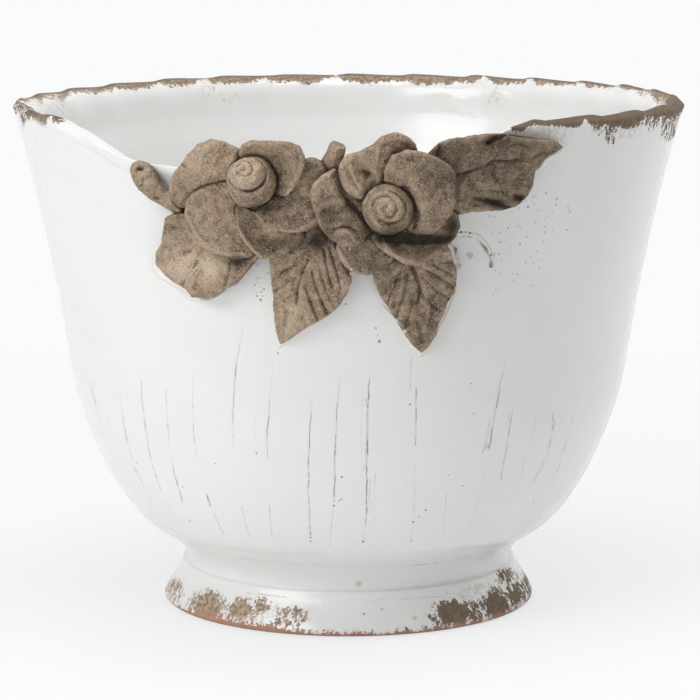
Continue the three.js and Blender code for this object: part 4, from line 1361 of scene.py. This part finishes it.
def wear_and_painted_shade(s):
    """Coats lighter on bulges and on clay standing out of its surroundings, painted shade in hollows and
    recesses, dark specks, rubbed patches, grit and fine cracks
    """
    hollow = s.attribute("hollow")
    cavity = s.attribute("cavity")
    # Lighter on bulges and on clay that stands out of its surroundings
    s.coat("worn", s.most(s.step(hollow, 0.1, -1.2), s.step(cavity, -0.5, -4.0)))
    # Painted shade in hollows and in clay lying below its surroundings
    s.coat("painted_shade", s.most(s.step(hollow, 0.2, 1.6), s.step(cavity, 1.0, 6.5)))
    s.coat("dark", s.times(s.patches(0.7, 3, 77.0, 0.53, 0.62), s.patches(6, 3, 70.0, 0.42, 0.6)))
    s.coat("rubbed", s.patches(5.0, 5, 80.0, 0.5, 0.62))
    s.coat("grit", s.times(s.patches(0.75, 2, 88.0, 0.54, 0.64), s.patches(4, 3, 99.0)))
    crack = s.step(s.math("ABSOLUTE", s.minus(s.noise(7, 5, shift=52.0), 0.5)), 0.008, 0.0)
    crack = s.times(crack, s.patches(11, 2, 29.0, 0.48, 0.58))
    s.coat("crack", crack)
    return crack


def clay_material():
    """Sandy brown clay"""
    s = Shader("sandy_clay", CLAY_COATS)
    s.colour = s.mix(s.step(s.noise(8, 4), 0.36, 0.64), *CLAYS)
    mottle = fired_tones_and_painted_light(s)
    crack = wear_and_painted_shade(s)
    # Painted highlight along narrow ridges and painted shade along narrow grooves
    s.coat("ridge", s.step(s.attribute("line"), 0.15, 1.0))
    s.coat("groove", s.step(s.attribute("line"), -0.2, -1.2))
    s.coat("sand", grains(s, 1.5, 0.27, 0.45))
    s.coat("fine sand", grains(s, 0.9, 0.3, 0.5))
    # Painted shadow where the tone is below 0
    s.coat("painted_shadow", s.math("MINIMUM", s.most(s.times(s.attribute("tone"), -1.0), 0.0), 1.0))
    # Painted shade on clay close to another piece
    s.coat("joint", s.step(s.attribute("joint"), 1.7, 0.3))
    chip = s.step(s.plus(s.attribute("coated"), s.times(s.minus(s.noise(1.2, 3), 0.5), 2.5)), 0.0, 0.4)
    s.colour = s.mix(chip, s.colour, CHIP_COLOUR)
    gloss = s.step(s.plus(s.attribute("gloss"), s.times(s.minus(mottle, 0.5), 2.0)), 0.0, 0.6)
    s.surface.inputs["Specular IOR Level"].default_value = 0.35
    pores = s.bump(s.minus(s.noise(0.8, 4, shift=3.0), s.times(crack, 0.5)), 1.3, 1.0)
    lumps = s.bump(s.noise(3.6, 5, shift=9.0), 2.8, 0.9, pores)
    return s.finish(s.minus(0.93, s.times(s.most(gloss, chip), 0.65)), lumps)


def grains(s, size, radius, share):
    """Grains of sand in the clay: one in a share of the cells of the given size in millimetres"""
    cells = {"Vector": s.place, "Scale": 1 / size}
    near = s.step(s.node("TexVoronoi", cells, "Distance"), radius, radius * 0.6)
    pick = s.node("SeparateColor", {0: s.node("TexVoronoi", cells, "Color")})
    return s.times(near, s.math("LESS_THAN", pick, share))


# Stage, world, lamps and camera
def seen_ray(tree):
    """1 for rays from the camera, and from what mirrors or lets through"""
    path = tree.nodes.new("ShaderNodeLightPath")
    seen = path.outputs["Is Camera Ray"]
    for ray in ("Is Glossy Ray", "Is Transmission Ray"):
        either = tree.nodes.new("ShaderNodeMath")
        either.operation = "MAXIMUM"
        tree.links.new(seen, either.inputs[0])
        tree.links.new(path.outputs[ray], either.inputs[1])
        seen = either.outputs[0]
    return seen


def sweep_mesh():
    """A floor just under the pot that bends up into a backdrop, in metres"""
    bend_start = STAGE_BACK - STAGE_BEND
    outline = [(STAGE_FRONT, -STAGE_GAP), (bend_start, -STAGE_GAP)]
    for k in range(1, 13):
        a = k / 12 * math.pi / 2
        rise = STAGE_BEND - STAGE_BEND * math.cos(a) - STAGE_GAP
        outline.append((bend_start + STAGE_BEND * math.sin(a), rise))
    outline.append((STAGE_BACK, STAGE_HEIGHT))
    verts = [(x, y, z) for y, z in outline for x in (-STAGE_HALF, STAGE_HALF)]
    faces = [(2 * k, 2 * k + 1, 2 * k + 3, 2 * k + 2) for k in range(len(outline) - 1)]
    mesh = bpy.data.meshes.new("studio_sweep")
    mesh.from_pydata(verts, [], faces)
    mesh.shade_smooth()
    return mesh


def make_stage():
    """A pale floor and backdrop, bright to the camera and in reflections"""
    mesh = sweep_mesh()
    obj = bpy.data.objects.new("studio_sweep", mesh)
    bpy.context.scene.collection.objects.link(obj)
    s = Shader("pale_sweep")
    s.surface.inputs["Base Color"].default_value = FLOOR_COLOUR
    s.surface.inputs["Roughness"].default_value = 0.8
    glow = s.node("Emission", {"Color": GLOW_COLOUR, "Strength": STAGE_WHITE})
    far = s.step(s.node("VectorMath", {0: s.place}, "Value", operation="LENGTH"), *SHADOW_REACH)
    share = s.times(s.plus(NEAR_GLOW, s.times(far, 1 - NEAR_GLOW)), seen_ray(s.tree))
    body = s.node("MixShader", {0: share, 1: s.surface.outputs[0], 2: glow})
    s.tree.links.new(body, s.tree.nodes["Material Output"].inputs["Surface"])
    mesh.materials.append(s.material)


def make_world():
    """A dim white world that looks bright to the camera and in reflections"""
    world = bpy.data.worlds.new("studio")
    bpy.context.scene.world = world
    world.use_nodes = True
    tree = world.node_tree
    tree.nodes["Background"].inputs["Color"].default_value = (1, 1, 1, 1)
    strength = tree.nodes.new("ShaderNodeMapRange")
    strength.inputs["To Min"].default_value = WORLD_LIGHT
    strength.inputs["To Max"].default_value = WORLD_WHITE
    tree.links.new(seen_ray(tree), strength.inputs["Value"])
    tree.links.new(strength.outputs[0], tree.nodes["Background"].inputs["Strength"])


def area_light(name, turn, lift, distance, size, power, mirrored):
    """A soft box aimed at the bowl from an angle round it from the front and a height in degrees"""
    light = bpy.data.lights.new(name, "AREA")
    light.shape = "RECTANGLE"
    light.size, light.size_y = size
    light.energy = power
    obj = bpy.data.objects.new(name, light)
    turn, lift = math.radians(turn), math.radians(lift)
    obj.location = (
        distance * math.cos(lift) * math.sin(turn),
        -distance * math.cos(lift) * math.cos(turn),
        HEIGHT / 2 * MM + distance * math.sin(lift),
    )
    obj.rotation_euler = (math.pi / 2 - lift, 0, turn)
    obj.visible_glossy = mirrored
    bpy.context.scene.collection.objects.link(obj)


def make_camera():
    """The picture's camera"""
    camera = bpy.data.cameras.new("camera")
    camera.sensor_width = SENSOR
    camera.lens = FOCAL_PX / FRAME_PX * SENSOR
    obj = bpy.data.objects.new("camera", camera)
    obj.location = (CAMERA_SIDE * MM, (AXIS_Y - CAMERA_BACK) * MM, CAMERA_UP * MM)
    obj.rotation_euler = (math.radians(90 - CAMERA_PITCH), 0, 0)
    bpy.context.scene.collection.objects.link(obj)
    bpy.context.scene.camera = obj


make_camera()
glaze = glaze_material()
clay = clay_material()
for thrown in (make_bowl(), make_foot()):
    thrown.data.materials.append(glaze)
clay_nodes = [n["node"] for n in frame["record"]["subparts"] if n["material_slot"] == "bare_clay"]
for shaped in make_clay(clay_nodes):
    shaped.data.materials.append(clay)
make_stage()
make_world()
for lamp, facts in LAMPS.items():
    area_light(lamp, *facts)

bpy.context.scene.view_settings.view_transform = "Standard"
